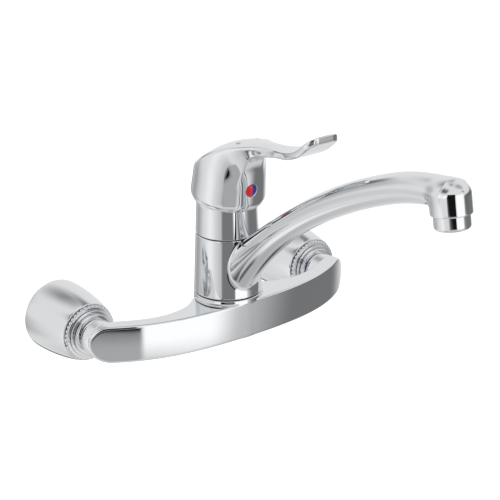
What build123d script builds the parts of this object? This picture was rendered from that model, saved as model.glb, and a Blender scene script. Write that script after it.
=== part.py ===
from build123d import *
from math import cos, radians, sin, sqrt
import os

# Wall-mounted single-lever kitchen faucet, millimetres.
# The wall is the plane y = 0, the faucet stands out towards -Y, +X runs along the wall, +Z is up.
# The origin is on the wall, midway between the two supply inlets.

# Overall sizes
inlet_centres = 203.2
reach = 228.6
body_stand_off = 72.8

# Wall flanges
flange_wall_radius = 26.1
flange_mouth_radius = 21.3
flange_depth = 43.6
flange_bulge = 1.3
flange_wall = 1.5

# Supply couplings, nuts and tailpieces
pipe_thread_radius = 9.8
pipe_thread_depth = 15.0
waterway_radius = 7.0
coupling_hex = 30.0
coupling_hex_depth = 30.0
coupling_length = 44.0
coupling_chamfer = 0.8
union_thread_radius = 13.2
nut_grip_radius = 20.4
nut_grip_width = 2.8
nut_body_radius = 17.3
nut_lip_radius = 15.2
nut_lip_width = 2.2
nut_skirt_radius = 16.4
nut_skirt_length = 8.0
nut_notches = 40
nut_notch_size = 1.3
nut_body_length = 1.6
nut_lip_rise = 0.6
washer_thickness = 2.4
tail_flange_radius = 12.6
tail_flange_thickness = 2.2
tail_radius = 11.0
tail_end = 62.5
strainer_thickness = 0.8
strainer_hole = 0.7
strainer_pitch = 2.2
strainer_rows = 5
strainer_ledge = 1.0

# Bridge casting
bar_half_height = 13.6
bar_front_centre = 97.3
bar_bow = 12.2
bar_end_bow = 10.8
bar_rear_end = 63.5
bar_rear = [(0.84, 69.8), (0.72, 75.2), (0.57, 78.0), (0.43, 76.2), (0.33, 71.5)]
bar_edge = 1.2
stub_radius = 13.0
stub_gap = 0.5
stub_round = 3.0
hub_base_radius = 24.7
hub_base_top = 16.2
bar_wing_setback = 8.0
channel_radius = 4.2
channel_mouth_depth = 67.0
channel_bends = [(84.0, 78.4), (56.0, 85.8)]

# Valve post inside the swivel sleeve
post_radius = 20.4
cup_radius = 17.6
post_rise = 2.0
supply_bore_radius = 3.2
supply_bore_offset = 11.0
mixed_bore_radius = 4.2
annulus_radius = 16.2
annulus_inset = 11.0
seal_radius = 1.3
seal_groove_width = 3.2
lower_seal_inset = 5.6
upper_seal_inset = 7.6
cross_port_radius = 3.6

# Swivel spout
sleeve_bottom = 17.0
sleeve_length = 44.0
sleeve_bottom_radius = 24.5
sleeve_top_radius = 22.6
sleeve_bore = 20.8
glide_inset = 0.8
seam = 0.6
arm_root_offset = 20.0
arm_root_height = 41.6
arm_root_slope = 44.8
arm_knee_slope = 19.6
arm_tip_slope = 2.8
arm_tip_bend = 173.7
arm_wall = 2.4
arm_root_sink = 9.0
arm_form = [
    (0.0, 13.2, 13.9),
    (0.12, 12.3, 11.7),
    (0.25, 11.8, 10.25),
    (0.45, 11.2, 9.45),
    (0.65, 11.2, 9.85),
    (0.88, 11.4, 9.95),
]
arm_tip_form = [(0.2, 11.6, 10.05), (0.6, 11.7, 10.2), (1.0, 12.0, 10.4)]
nozzle_height = 12.6
nozzle_tilt = 8.6
nozzle_crown_radius = 13.3
nozzle_crown_height = 10.1
nozzle_rim_radius = 13.4
nozzle_throat_radius = 8.0
aerator_radius = 11.7
aerator_seat_depth = 8.0
aerator_drop = 9.5
aerator_wall = 1.3
aerator_foot_round = 2.8
aerator_ledge = 1.6
aerator_ledge_thickness = 1.4
gasket_thickness = 1.6
screen_thickness = 0.8
screen_hole = 0.6
screen_pitch = 2.0
screen_rows = 7
spreader_plate = 2.0
spreader_wall = 1.5
spreader_jets = 8
spreader_jet_radius = 0.8
spreader_jet_circle = 5.4

# Fixed bonnet over the cartridge
dome_wall = 1.2
dome_radius = 22.2
dome_opening = 17.5
bonnet_shoulder_rise = 5.0

# Cartridge, in heights from the sleeve's top and from the pivot
seat_inset = 4.0
pivot_rise = 17.5
cartridge_radius = 17.3
base_thickness = 3.0
port_seal_width = 1.3
port_seal_thickness = 0.8
disc_thickness = 3.0
fixed_disc_radius = 15.2
moving_disc_radius = 12.0
mixing_pocket_depth = 1.6
mixing_pocket_length = 19.0
mixing_pocket_width = 8.4
carrier_thickness = 3.5
pocket_floor = 0.5
housing_wall = 1.8
housing_roof_thickness = 2.3
housing_shoulder_drop = 3.5
housing_neck_radius = 12.6
housing_neck_rise = 0.7
rotor_neck_radius = 10.2
rotor_rise = 3.5
pin_radius = 1.5
stem_square = 8.0
stem_top = 26.5
stem_blade = 4.2
stem_foot_radius = 2.3
stem_chamfer = 0.8
spanner_slots = 6
spanner_slot_width = 3.0
spanner_slot_length = 5.0
spanner_slot_depth = 1.6

# Lever handle, in heights from the pivot
closed_lean = 8.5
lift_angle = 25.0
hub_rim_radius = 24.3
hub_rim_height = 8.0
hub_wide_radius = 26.7
hub_wide_height = 12.0
hub_shoulder_radius = 25.2
hub_shoulder_height = 35.0
hub_cheek_radius = 23.3
hub_cheek_height = 46.6
hub_crown_radius = 21.1
hub_crown_height = 57.0
hub_wall = 2.6
cavity_shoulder = 22.0
cavity_haunch_radius = 17.6
cavity_haunch = 28.8
cavity_top = 35.5
rim_clearance = 0.4
socket_radius = 8.6
socket_bottom = 12.0
grub_radius = 2.5
grub_length = 9.0
grub_height = 24.6
grub_boss_radius = 5.0
button_radius = 4.5
button_face = 25.8
button_depth = 2.4
button_dome = 1.2
roof_form = [
    (-34.0, 18.4, 57.0, 30.0),
    (-20.0, 30.7, 57.0, 30.0),
    (-8.0, 40.8, 57.0, 30.0),
    (5.0, 49.8, 57.0, 30.0),
    (20.0, 55.3, 57.0, 28.0),
    (35.0, 57.8, 45.0, 20.0),
    (50.0, 59.7, 26.0, 13.0),
    (62.0, 60.9, 28.0, 13.0),
    (76.0, 63.3, 74.0, 16.0),
    (88.0, 66.3, 119.0, 17.0),
    (93.0, 68.6, 125.0, 17.0),
    (98.0, 72.1, 130.0, 17.0),
    (103.0, 76.3, 130.0, 17.0),
    (107.0, 79.2, 130.0, 17.0),
    (111.0, 81.2, 130.0, 17.0),
]
blade_form = [
    (12.0, 19.7, 49.2, 17.4, 21.6),
    (20.0, 18.8, 51.9, 14.4, 25.6),
    (28.0, 16.6, 54.2, 9.8, 33.5),
    (33.0, 14.6, 55.3, 8.2, 41.8),
    (38.0, 12.4, 56.4, 7.3, 47.0),
    (44.0, 10.0, 57.4, 7.0, 49.8),
    (53.0, 8.6, 58.4, 7.1, 52.0),
    (62.0, 8.4, 59.7, 7.4, 54.0),
    (76.0, 11.6, 62.3, 10.6, 57.0),
    (88.0, 14.0, 65.4, 13.0, 60.4),
    (98.0, 14.2, 71.3, 13.3, 65.9),
    (107.0, 14.2, 78.4, 13.3, 73.2),
    (111.0, 14.2, 80.4, 13.3, 76.2),
]
blade_over = 5.0
tip_half_width = 14.2
tip_offset_end = 109.4
tip_corner = 8.5
dimple_spread = 8.6
dimple_offset = 25.0
dimple_radius = 3.4
dimple_depth = 0.9
dimple_roof = 55.6

# Fits
running = 0.05
loose = 0.1
clear = 0.3

inlet_x = inlet_centres / 2
body_y = -body_stand_off
sleeve_top = sleeve_bottom + sleeve_length
lower_seal_height = sleeve_bottom + lower_seal_inset
upper_seal_height = sleeve_top - upper_seal_inset
annulus_bottom = sleeve_bottom + annulus_inset
annulus_top = sleeve_top - annulus_inset
seat_height = sleeve_top - seat_inset
pivot_height = sleeve_top + pivot_rise
post_top = pivot_height + post_rise
body_axis = Axis((0, body_y, 0), (0, 0, 1))
body_plane = Plane(origin=(0, body_y, 0), x_dir=(1, 0, 0), z_dir=(0, -1, 0))


def body_level(height):
    """Horizontal plane on the body axis at a height."""
    return Plane(origin=(0, body_y, height), x_dir=(1, 0, 0), z_dir=(0, 0, 1))


def inlet_level(side, depth):
    """Plane square to one inlet axis, facing out from the wall, at a distance from the wall."""
    return Plane(origin=(side * inlet_x, -depth, 0), x_dir=(1, 0, 0), z_dir=(0, -1, 0))


def inlet_plane(side):
    """Plane for turned profiles of one inlet: radius along X, and Y as it is."""
    return Plane(origin=(side * inlet_x, 0, 0), x_dir=(1, 0, 0), z_dir=(0, 0, 1))


def inlet_axis(side):
    return Axis((side * inlet_x, 0, 0), (0, 1, 0))


def lean_plane(lean):
    """Upright plane through the lever's pivot, its Y leaning forward by an angle."""
    angle = radians(lean)
    return Plane(
        origin=(0, body_y, pivot_height),
        x_dir=(1, 0, 0),
        z_dir=(0, -cos(angle), -sin(angle)),
    )


def lean_axis(lean):
    angle = radians(lean)
    return Axis((0, body_y, pivot_height), (0, -sin(angle), cos(angle)))


def lean_level(lean, height):
    """Plane square to the leaning axis at a height above the pivot, its Y towards the wall."""
    angle = radians(lean)
    return Plane(
        origin=(0, body_y - height * sin(angle), pivot_height + height * cos(angle)),
        x_dir=(1, 0, 0),
        z_dir=(0, -sin(angle), cos(angle)),
    )


def side_plane(lean, x):
    """Plane of the lever's side view at an x: its X towards the wall, its Y up the leaning axis."""
    angle = radians(lean)
    return Plane(
        origin=(x, body_y, pivot_height),
        x_dir=(0, cos(angle), sin(angle)),
        z_dir=(1, 0, 0),
    )


def keep(part, name):
    part.part.label = name
    export_step(part.part, f"parts/{name}.step")


os.makedirs("parts", exist_ok=True)

# Inlet stack, from the wall outwards
coupling_face = coupling_length
tail_back = coupling_face + washer_thickness
tail_front = tail_back + tail_flange_thickness
nut_front = tail_front + nut_lip_width
nut_grip_back = flange_depth + loose
nut_grip_front = nut_grip_back + nut_grip_width
nut_shoulder = nut_grip_front + nut_body_length
nut_back = nut_grip_back - nut_skirt_length
stub_face = nut_front + stub_gap
sides ={"left": -1, "right": 1}

# Wall flange: a convex turned bell with a flat rim on the wall
for name, side in sides.items():
    with BuildPart() as wall_flange:
        with BuildSketch(inlet_plane(side)):
            with BuildLine():
                middle = (flange_wall_radius + flange_mouth_radius) / 2 + flange_bulge
                outside = ThreePointArc(
                    (flange_wall_radius, 0),
                    (middle, -flange_depth / 2),
                    (flange_mouth_radius, -flange_depth),
                )
                lip = Line(outside @ 1, (flange_mouth_radius - flange_wall / 2, -flange_depth))
                inside = ThreePointArc(
                    lip @ 1,
                    (middle - flange_wall, -flange_depth / 2),
                    (flange_wall_radius - flange_wall, 0),
                )
                Line(inside @ 1, outside @ 0)
            make_face()
        revolve(axis=inlet_axis(side))
    keep(wall_flange, f"{name}_wall_flange")

# Supply coupling: pipe thread at the wall, hexagon, and the union's male thread in front
for name, side in sides.items():
    with BuildPart() as supply_coupling:
        with BuildSketch(inlet_level(side, 0)):
            RegularPolygon(radius=coupling_hex / 2, side_count=6, major_radius=False)
        extrude(amount=coupling_hex_depth)
        chamfer(supply_coupling.faces().sort_by(Axis.Y)[0].edges(), length=coupling_chamfer)
        with BuildSketch(inlet_level(side, coupling_hex_depth)):
            Circle(union_thread_radius)
        extrude(amount=coupling_length - coupling_hex_depth)
        chamfer(supply_coupling.faces().sort_by(Axis.Y)[0].edges(), length=coupling_chamfer)
        with BuildSketch(inlet_level(side, 0)):
            Circle(pipe_thread_radius)
        extrude(amount=pipe_thread_depth, mode=Mode.SUBTRACT)
        with BuildSketch(inlet_level(side, pipe_thread_depth)):
            Circle(waterway_radius)
        extrude(amount=coupling_length - pipe_thread_depth, mode=Mode.SUBTRACT)
    keep(supply_coupling, f"{name}_supply_coupling")

# Union washer between the coupling's face and the tailpiece's flange
for name, side in sides.items():
    with BuildPart() as union_washer:
        with BuildSketch(inlet_level(side, coupling_face)):
            Circle(tail_flange_radius)
            Circle(waterway_radius, mode=Mode.SUBTRACT)
        extrude(amount=washer_thickness)
    keep(union_washer, f"{name}_union_washer")

# Tailpiece: flange held by the nut, threaded into the bridge, with a seat for the strainer
for name, side in sides.items():
    with BuildPart() as tailpiece:
        with BuildSketch(inlet_level(side, tail_back)):
            Circle(tail_flange_radius)
        extrude(amount=tail_flange_thickness)
        with BuildSketch(inlet_level(side, tail_front)):
            Circle(tail_radius)
        extrude(amount=tail_end - tail_front)
        with BuildSketch(inlet_level(side, tail_back)):
            Circle(waterway_radius)
        extrude(amount=tail_end - tail_back, mode=Mode.SUBTRACT)
        with BuildSketch(inlet_level(side, tail_back)):
            Circle(waterway_radius + strainer_ledge)
        extrude(amount=strainer_thickness, mode=Mode.SUBTRACT)
    keep(tailpiece, f"{name}_tailpiece")

# Inlet strainer: a round sieve in the tailpiece's seat
for name, side in sides.items():
    with BuildPart() as inlet_strainer:
        with BuildSketch(inlet_level(side, tail_back)):
            Circle(waterway_radius + strainer_ledge - running)
            with GridLocations(strainer_pitch, strainer_pitch, strainer_rows, strainer_rows):
                Circle(strainer_hole, mode=Mode.SUBTRACT)
        extrude(amount=strainer_thickness)
    keep(inlet_strainer, f"{name}_inlet_strainer")

# Union nut: notched grip ring in the flange's mouth, smooth body and rounded front lip
for name, side in sides.items():
    with BuildPart() as union_nut:
        with BuildSketch(inlet_plane(side)):
            with BuildLine():
                Polyline(
                    (union_thread_radius + loose, -nut_back),
                    (nut_skirt_radius, -nut_back),
                    (nut_skirt_radius, -nut_grip_back),
                    (nut_grip_radius, -nut_grip_back),
                    (nut_grip_radius, -nut_grip_front),
                    (nut_body_radius, -nut_grip_front),
                    (nut_body_radius, -nut_shoulder),
                    (nut_lip_radius, -nut_shoulder - nut_lip_rise),
                    (nut_lip_radius, -nut_front),
                    (tail_radius + loose, -nut_front),
                    (tail_radius + loose, -tail_front),
                    (union_thread_radius + loose, -tail_front),
                    close=True,
                )
            make_face()
        revolve(axis=inlet_axis(side))
        with BuildSketch(inlet_level(side, nut_grip_back)):
            with PolarLocations(nut_grip_radius, nut_notches):
                Rectangle(nut_notch_size, nut_notch_size, rotation=45)
        extrude(amount=nut_grip_width, mode=Mode.SUBTRACT)
    keep(union_nut, f"{name}_union_nut")

# Bridge: bowed bar with a flat top, round base for the spout, inlet stubs and the valve post
bar_half_length = inlet_x + bar_half_height
seat_groove_radius = sleeve_bore - running - 2 * seal_radius


def bar_front(x):
    """Y of the bar's front face: nearly flat in the middle, turning away at the ends."""
    share = x / inlet_x
    return -bar_front_centre + bar_bow * share**2 + bar_end_bow * share**4


bar_spans = 10
bar_stations = [bar_half_length * (2 * i / bar_spans - 1) for i in range(bar_spans + 1)]
with BuildPart() as bridge_body:
    with BuildSketch(Plane.XY.offset(-bar_half_height)):
        with BuildLine():
            front = Spline(*[(x, bar_front(x)) for x in bar_stations])
            right_end = Line(front @ 1, (bar_half_length, -bar_rear_end))
            right_rear = Line(right_end @ 1, (inlet_x - bar_edge, -bar_rear_end))
            right_back = Spline(
                right_rear @ 1,
                *[(share * inlet_x, -depth) for share, depth in bar_rear],
                (hub_base_radius - running, body_y + bar_wing_setback),
                tangents=((-1, -0.1), (0, 1)),
            )
            hub_back = Line(right_back @ 1, (-hub_base_radius + running, body_y + bar_wing_setback))
            left_back = Spline(
                hub_back @ 1,
                *[(-share * inlet_x, -depth) for share, depth in reversed(bar_rear)],
                (-inlet_x + bar_edge, -bar_rear_end),
                tangents=((0, -1), (-1, 0.1)),
            )
            left_rear = Line(left_back @ 1, (-bar_half_length, -bar_rear_end))
            Line(left_rear @ 1, front @ 0)
        make_face()
    extrude(amount=2 * bar_half_height)
    with BuildSketch(Plane.XZ):
        SlotOverall(2 * bar_half_length, 2 * bar_half_height)
    extrude(amount=bar_front_centre + bar_half_height, mode=Mode.INTERSECT)
    front_edges = bridge_body.faces().sort_by(Axis.Y)[0].edges()
    fillet(front_edges, radius=bar_edge)
    with BuildSketch(body_level(-bar_half_height)):
        Circle(hub_base_radius)
    extrude(amount=bar_half_height + hub_base_top)
    for side in sides.values():
        with BuildSketch(inlet_level(side, stub_face)):
            Circle(stub_radius)
        extrude(amount=bar_rear_end + clear - stub_face)
    stub_ends = bridge_body.faces().group_by(Axis.Y)[-1]
    fillet(stub_ends.edges(), radius=stub_round)
    with BuildSketch(body_plane):
        with BuildLine():
            Polyline(
                (0, 0),
                (post_radius, 0),
                (post_radius, lower_seal_height - seal_groove_width / 2),
                (seat_groove_radius, lower_seal_height - seal_groove_width / 2),
                (seat_groove_radius, lower_seal_height + seal_groove_width / 2),
                (post_radius, lower_seal_height + seal_groove_width / 2),
                (post_radius, annulus_bottom),
                (annulus_radius, annulus_bottom),
                (annulus_radius, annulus_top),
                (post_radius, annulus_top),
                (post_radius, upper_seal_height - seal_groove_width / 2),
                (seat_groove_radius, upper_seal_height - seal_groove_width / 2),
                (seat_groove_radius, upper_seal_height + seal_groove_width / 2),
                (post_radius, upper_seal_height + seal_groove_width / 2),
                (post_radius, post_top),
                (cup_radius, post_top),
                (cup_radius, seat_height),
                (0, seat_height),
                close=True,
            )
        make_face()
    revolve(axis=body_axis)
    for side in sides.values():
        with BuildSketch(inlet_level(side, stub_face)):
            Circle(tail_radius + loose)
        extrude(amount=tail_end - stub_face, mode=Mode.SUBTRACT)
        with BuildSketch(inlet_level(side, tail_end)):
            Circle(waterway_radius)
        extrude(amount=channel_mouth_depth - tail_end, mode=Mode.SUBTRACT)
        route = [Vector(side * inlet_x, -channel_mouth_depth, 0)]
        route += [Vector(side * x, -depth, 0) for x, depth in channel_bends]
        route += [Vector(side * supply_bore_offset, body_y, 0)]
        for start, end in zip(route, route[1:]):
            with BuildSketch(Plane(origin=start, z_dir=end - start)):
                Circle(channel_radius)
            extrude(amount=(end - start).length, mode=Mode.SUBTRACT)
            with Locations(end):
                Sphere(channel_radius, mode=Mode.SUBTRACT)
        with Locations(route[0]):
            Sphere(channel_radius, mode=Mode.SUBTRACT)
        with BuildSketch(body_level(0)):
            with Locations((side * supply_bore_offset, 0)):
                Circle(supply_bore_radius)
        extrude(amount=seat_height, mode=Mode.SUBTRACT)
    annulus_middle = (annulus_bottom + annulus_top) / 2
    with BuildSketch(body_level(annulus_middle - cross_port_radius)):
        Circle(mixed_bore_radius)
    extrude(amount=seat_height - annulus_middle + cross_port_radius, mode=Mode.SUBTRACT)
    with BuildSketch(Plane.XZ.offset(-body_y - sleeve_bore)):
        with Locations((0, annulus_middle)):
            Circle(cross_port_radius)
    extrude(amount=2 * sleeve_bore, mode=Mode.SUBTRACT)
keep(bridge_body, "bridge_body")

# Glide rings that the spout sleeve turns between
with BuildPart() as lower_glide_ring:
    with BuildSketch(body_level(hub_base_top)):
        Circle(sleeve_bottom_radius - glide_inset)
        Circle(post_radius + loose, mode=Mode.SUBTRACT)
    extrude(amount=sleeve_bottom - hub_base_top - running)
keep(lower_glide_ring, "lower_glide_ring")

with BuildPart() as upper_glide_ring:
    with BuildSketch(body_level(sleeve_top + running)):
        Circle(sleeve_top_radius - glide_inset)
        Circle(post_radius + loose, mode=Mode.SUBTRACT)
    extrude(amount=seam - running)
keep(upper_glide_ring, "upper_glide_ring")

# Spout seals in the post's two grooves
for name, height in (("lower", lower_seal_height), ("upper", upper_seal_height)):
    with BuildPart() as spout_seal:
        with BuildSketch(body_plane):
            with Locations((seat_groove_radius + seal_radius, height)):
                Circle(seal_radius)
        revolve(axis=body_axis)
    keep(spout_seal, f"{name}_spout_seal")


# Spout: tapered swivel sleeve, rising arm of two tangent arcs, and a tilted nozzle
def sleeve_radius(height):
    """Radius of the tapered column at a height."""
    share = (height - sleeve_bottom) / (sleeve_top - sleeve_bottom)
    return sleeve_bottom_radius + share * (sleeve_top_radius - sleeve_bottom_radius)


tilt = radians(nozzle_tilt)
arm_tip_offset = reach - nozzle_height * sin(tilt)
tip_run = arm_tip_bend * (sin(radians(arm_knee_slope)) - sin(radians(arm_tip_slope)))
main_turn = sin(radians(arm_root_slope)) - sin(radians(arm_knee_slope))
main_bend = (arm_tip_offset - tip_run - arm_root_offset) / main_turn


def arm_point(slope):
    """Offset from the body axis and height of the arm's centre line where it has this slope."""
    if slope >= arm_knee_slope:
        bend, start, offset, height = main_bend, arm_root_slope, arm_root_offset, arm_root_height
    else:
        bend, start = arm_tip_bend, arm_knee_slope
        offset, height = arm_point(arm_knee_slope)
    offset += bend * (sin(radians(start)) - sin(radians(slope)))
    height += bend * (cos(radians(slope)) - cos(radians(start)))
    return offset, height


def arm_plane(slope):
    """Plane square to the arm's centre line: X as the row's, Y up along the section."""
    offset, height = arm_point(slope)
    angle = radians(slope)
    return Plane(
        origin=(0, body_y - offset, height),
        x_dir=(1, 0, 0),
        z_dir=(0, -cos(angle), sin(angle)),
    )


root_turn = arm_knee_slope - arm_root_slope
tip_turn = arm_tip_slope - arm_knee_slope
arm_stations = [(arm_root_slope + share * root_turn, a, b) for share, a, b in arm_form]
arm_stations += [(arm_knee_slope + share * tip_turn, a, b) for share, a, b in arm_tip_form]
tip_offset, tip_height = arm_point(arm_tip_slope)
nozzle_top = Plane(
    origin=(0, body_y - tip_offset, tip_height),
    x_dir=(1, 0, 0),
    z_dir=(0, -sin(tilt), -cos(tilt)),
)
nozzle_side = Plane(
    origin=(0, body_y - tip_offset, tip_height),
    x_dir=(1, 0, 0),
    z_dir=(0, -cos(tilt), sin(tilt)),
)
nozzle_axis = Axis((0, body_y - tip_offset, tip_height), (0, -sin(tilt), -cos(tilt)))
root_back = arm_plane(arm_root_slope).offset(-arm_root_sink)
root_half_width, root_half_height = arm_form[0][1:]

with BuildPart() as spout:
    with BuildSketch(root_back):
        Ellipse(root_half_width, root_half_height)
    for slope, half_width, half_height in arm_stations:
        with BuildSketch(arm_plane(slope)):
            Ellipse(half_width, half_height)
    loft()
    with BuildSketch(nozzle_side):
        with BuildLine():
            crown = EllipticalCenterArc(
                (0, 0), nozzle_crown_radius, nozzle_crown_height, start_angle=0, arc_size=90
            )
            Polyline(crown @ 1, (0, -nozzle_height), (nozzle_rim_radius, -nozzle_height), crown @ 0)
        make_face()
    revolve(axis=nozzle_axis)
    with BuildSketch(body_plane):
        with BuildLine():
            Polyline(
                (0, sleeve_bottom),
                (sleeve_bottom_radius, sleeve_bottom),
                (sleeve_top_radius, sleeve_top),
                (0, sleeve_top),
                close=True,
            )
        make_face()
    revolve(axis=body_axis)
    with BuildSketch(root_back):
        Ellipse(root_half_width - arm_wall, root_half_height - arm_wall)
    for slope, half_width, half_height in arm_stations:
        with BuildSketch(arm_plane(slope)):
            Ellipse(half_width - arm_wall, half_height - arm_wall)
    loft(mode=Mode.SUBTRACT)
    with BuildSketch(body_level(sleeve_bottom)):
        Circle(sleeve_bore)
    extrude(amount=sleeve_top - sleeve_bottom, mode=Mode.SUBTRACT)
    with BuildSketch(body_level(sleeve_top)):
        Circle(sleeve_top_radius + clear)
    extrude(amount=root_half_height, mode=Mode.SUBTRACT)
    with BuildSketch(nozzle_top):
        Circle(nozzle_throat_radius)
    extrude(amount=nozzle_height, mode=Mode.SUBTRACT)
    with BuildSketch(nozzle_top.offset(nozzle_height - aerator_seat_depth)):
        Circle(aerator_radius + loose)
    extrude(amount=aerator_seat_depth, mode=Mode.SUBTRACT)
keep(spout, "spout")

# Aerator: gasket, cup with a rounded foot, spreader and outlet screen
with BuildPart() as aerator_gasket:
    with BuildSketch(nozzle_top.offset(nozzle_height - aerator_seat_depth)):
        Circle(aerator_radius)
        Circle(nozzle_throat_radius, mode=Mode.SUBTRACT)
    extrude(amount=gasket_thickness)
keep(aerator_gasket, "aerator_gasket")

shell_top = -nozzle_height + aerator_seat_depth - gasket_thickness
shell_foot = -nozzle_height - aerator_drop
aerator_bore = aerator_radius - aerator_wall
with BuildPart() as aerator_shell:
    with BuildSketch(nozzle_side):
        with BuildLine():
            Polyline(
                (aerator_bore, shell_top),
                (aerator_radius, shell_top),
                (aerator_radius, shell_foot + aerator_foot_round),
            )
            foot = RadiusArc(
                (aerator_radius, shell_foot + aerator_foot_round),
                (aerator_radius - aerator_foot_round, shell_foot),
                aerator_foot_round,
            )
            Polyline(
                foot @ 1,
                (aerator_bore - aerator_ledge, shell_foot),
                (aerator_bore - aerator_ledge, shell_foot + aerator_ledge_thickness),
                (aerator_bore, shell_foot + aerator_ledge_thickness),
                (aerator_bore, shell_top),
            )
        make_face()
    revolve(axis=nozzle_axis)
keep(aerator_shell, "aerator_shell")

screen_bottom = aerator_drop - aerator_ledge_thickness - screen_thickness
with BuildPart() as aerator_screen:
    with BuildSketch(nozzle_top.offset(nozzle_height + screen_bottom)):
        Circle(aerator_bore - loose)
        with GridLocations(screen_pitch, screen_pitch, screen_rows, screen_rows):
            Circle(screen_hole, mode=Mode.SUBTRACT)
    extrude(amount=screen_thickness)
keep(aerator_screen, "aerator_screen")

spreader_top = nozzle_height - aerator_seat_depth + gasket_thickness
spreader_length = nozzle_height + screen_bottom - spreader_top
with BuildPart() as aerator_spreader:
    with BuildSketch(nozzle_top.offset(spreader_top)):
        Circle(aerator_bore - loose)
    extrude(amount=spreader_length)
    with BuildSketch(nozzle_top.offset(spreader_top + spreader_plate)):
        Circle(aerator_bore - spreader_wall)
    extrude(amount=spreader_length - spreader_plate, mode=Mode.SUBTRACT)
    with BuildSketch(nozzle_top.offset(spreader_top)):
        with PolarLocations(spreader_jet_circle, spreader_jets):
            Circle(spreader_jet_radius)
    extrude(amount=spreader_plate, mode=Mode.SUBTRACT)
keep(aerator_spreader, "aerator_spreader")

# Bonnet sleeve: carries the column's taper on, then a low dome that the handle's rim rocks round
bonnet_bottom = sleeve_top + seam
bonnet_shoulder_radius = sleeve_radius(pivot_height + bonnet_shoulder_rise)
bonnet_shoulder = pivot_height + sqrt(dome_radius**2 - bonnet_shoulder_radius**2)
dome_inside = dome_radius - dome_wall
bonnet_bore = post_radius + loose
bonnet_inner_shoulder = pivot_height + sqrt(dome_inside**2 - bonnet_bore**2)
outer_rise = sqrt(dome_radius**2 - dome_opening**2)
inner_rise = sqrt(dome_inside**2 - dome_opening**2)
with BuildPart() as bonnet_sleeve:
    with BuildSketch(body_plane):
        with BuildLine():
            flank = Polyline(
                (bonnet_bore, bonnet_bottom),
                (sleeve_radius(bonnet_bottom), bonnet_bottom),
                (bonnet_shoulder_radius, bonnet_shoulder),
            )
            outer_dome = RadiusArc(flank @ 1, (dome_opening, pivot_height + outer_rise), -dome_radius)
            rim = Line(outer_dome @ 1, (dome_opening, pivot_height + inner_rise))
            inner_dome = RadiusArc(rim @ 1, (bonnet_bore, bonnet_inner_shoulder), dome_inside)
            Line(inner_dome @ 1, flank @ 0)
        make_face()
    revolve(axis=body_axis)
keep(bonnet_sleeve, "bonnet_sleeve")

# Cartridge base with its three port seals
ports = [
    (-supply_bore_offset, supply_bore_radius),
    (0, mixed_bore_radius),
    (supply_bore_offset, supply_bore_radius),
]
with BuildPart() as cartridge_base:
    with BuildSketch(body_level(seat_height)):
        Circle(cartridge_radius)
        for x, radius in ports:
            with Locations((x, 0)):
                Circle(radius, mode=Mode.SUBTRACT)
    extrude(amount=base_thickness)
    with BuildSketch(body_level(seat_height)):
        for x, radius in ports:
            with Locations((x, 0)):
                Circle(radius + port_seal_width)
    extrude(amount=port_seal_thickness, mode=Mode.SUBTRACT)
keep(cartridge_base, "cartridge_base")

for name, (x, radius) in zip(("hot", "mixed", "cold"), ports):
    with BuildPart() as port_seal:
        with BuildSketch(body_level(seat_height)):
            with Locations((x, 0)):
                Circle(radius + port_seal_width)
                Circle(radius, mode=Mode.SUBTRACT)
        extrude(amount=port_seal_thickness)
    keep(port_seal, f"{name}_port_seal")

# Ceramic discs: the fixed one with three ports, the moving one with its mixing pocket
fixed_disc_bottom = seat_height + base_thickness
moving_disc_bottom = fixed_disc_bottom + disc_thickness
carrier_bottom = moving_disc_bottom + disc_thickness
carrier_top = carrier_bottom + carrier_thickness
stem_foot_gap = 2 * running
stem_foot_height = carrier_bottom + pocket_floor + stem_foot_radius + stem_foot_gap
stem_reach_down = pivot_height - stem_foot_height
disc_shift = stem_reach_down * sin(radians(closed_lean))
with BuildPart() as fixed_disc:
    with BuildSketch(body_level(fixed_disc_bottom)):
        Circle(fixed_disc_radius)
        for x, radius in ports:
            with Locations((x, 0)):
                Circle(radius, mode=Mode.SUBTRACT)
    extrude(amount=disc_thickness)
keep(fixed_disc, "fixed_disc")

with BuildPart() as moving_disc:
    with BuildSketch(body_level(moving_disc_bottom)):
        with Locations((0, disc_shift)):
            Circle(moving_disc_radius)
    extrude(amount=disc_thickness)
    with BuildSketch(body_level(moving_disc_bottom)):
        with Locations((0, disc_shift)):
            SlotOverall(mixing_pocket_length, mixing_pocket_width)
    extrude(amount=mixing_pocket_depth, mode=Mode.SUBTRACT)
keep(moving_disc, "moving_disc")

with BuildPart() as disc_carrier:
    with BuildSketch(body_level(carrier_bottom)):
        with Locations((0, disc_shift)):
            Circle(moving_disc_radius)
    extrude(amount=carrier_thickness)
    with BuildSketch(body_level(carrier_bottom + pocket_floor)):
        with Locations((0, disc_shift)):
            Rectangle(stem_square + 2 * clear, 2 * (stem_foot_radius + 3 * running))
    extrude(amount=carrier_thickness, mode=Mode.SUBTRACT)
keep(disc_carrier, "disc_carrier")

# Cartridge housing, with the rotor that carries the stem's pin turning in its neck
housing_shoulder = pivot_height - housing_shoulder_drop
housing_neck_top = pivot_height + housing_neck_rise
rotor_top = pivot_height + rotor_rise
housing_bore = cartridge_radius - housing_wall
housing_roof = housing_shoulder - housing_roof_thickness
with BuildPart() as cartridge_housing:
    with BuildSketch(body_plane):
        with BuildLine():
            Polyline(
                (housing_bore, fixed_disc_bottom),
                (cartridge_radius, fixed_disc_bottom),
                (cartridge_radius, housing_shoulder),
                (housing_neck_radius, housing_shoulder),
                (housing_neck_radius, housing_neck_top),
                (rotor_neck_radius + running, housing_neck_top),
                (rotor_neck_radius + running, housing_roof),
                (housing_bore, housing_roof),
                close=True,
            )
        make_face()
    revolve(axis=body_axis)
keep(cartridge_housing, "cartridge_housing")

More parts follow.
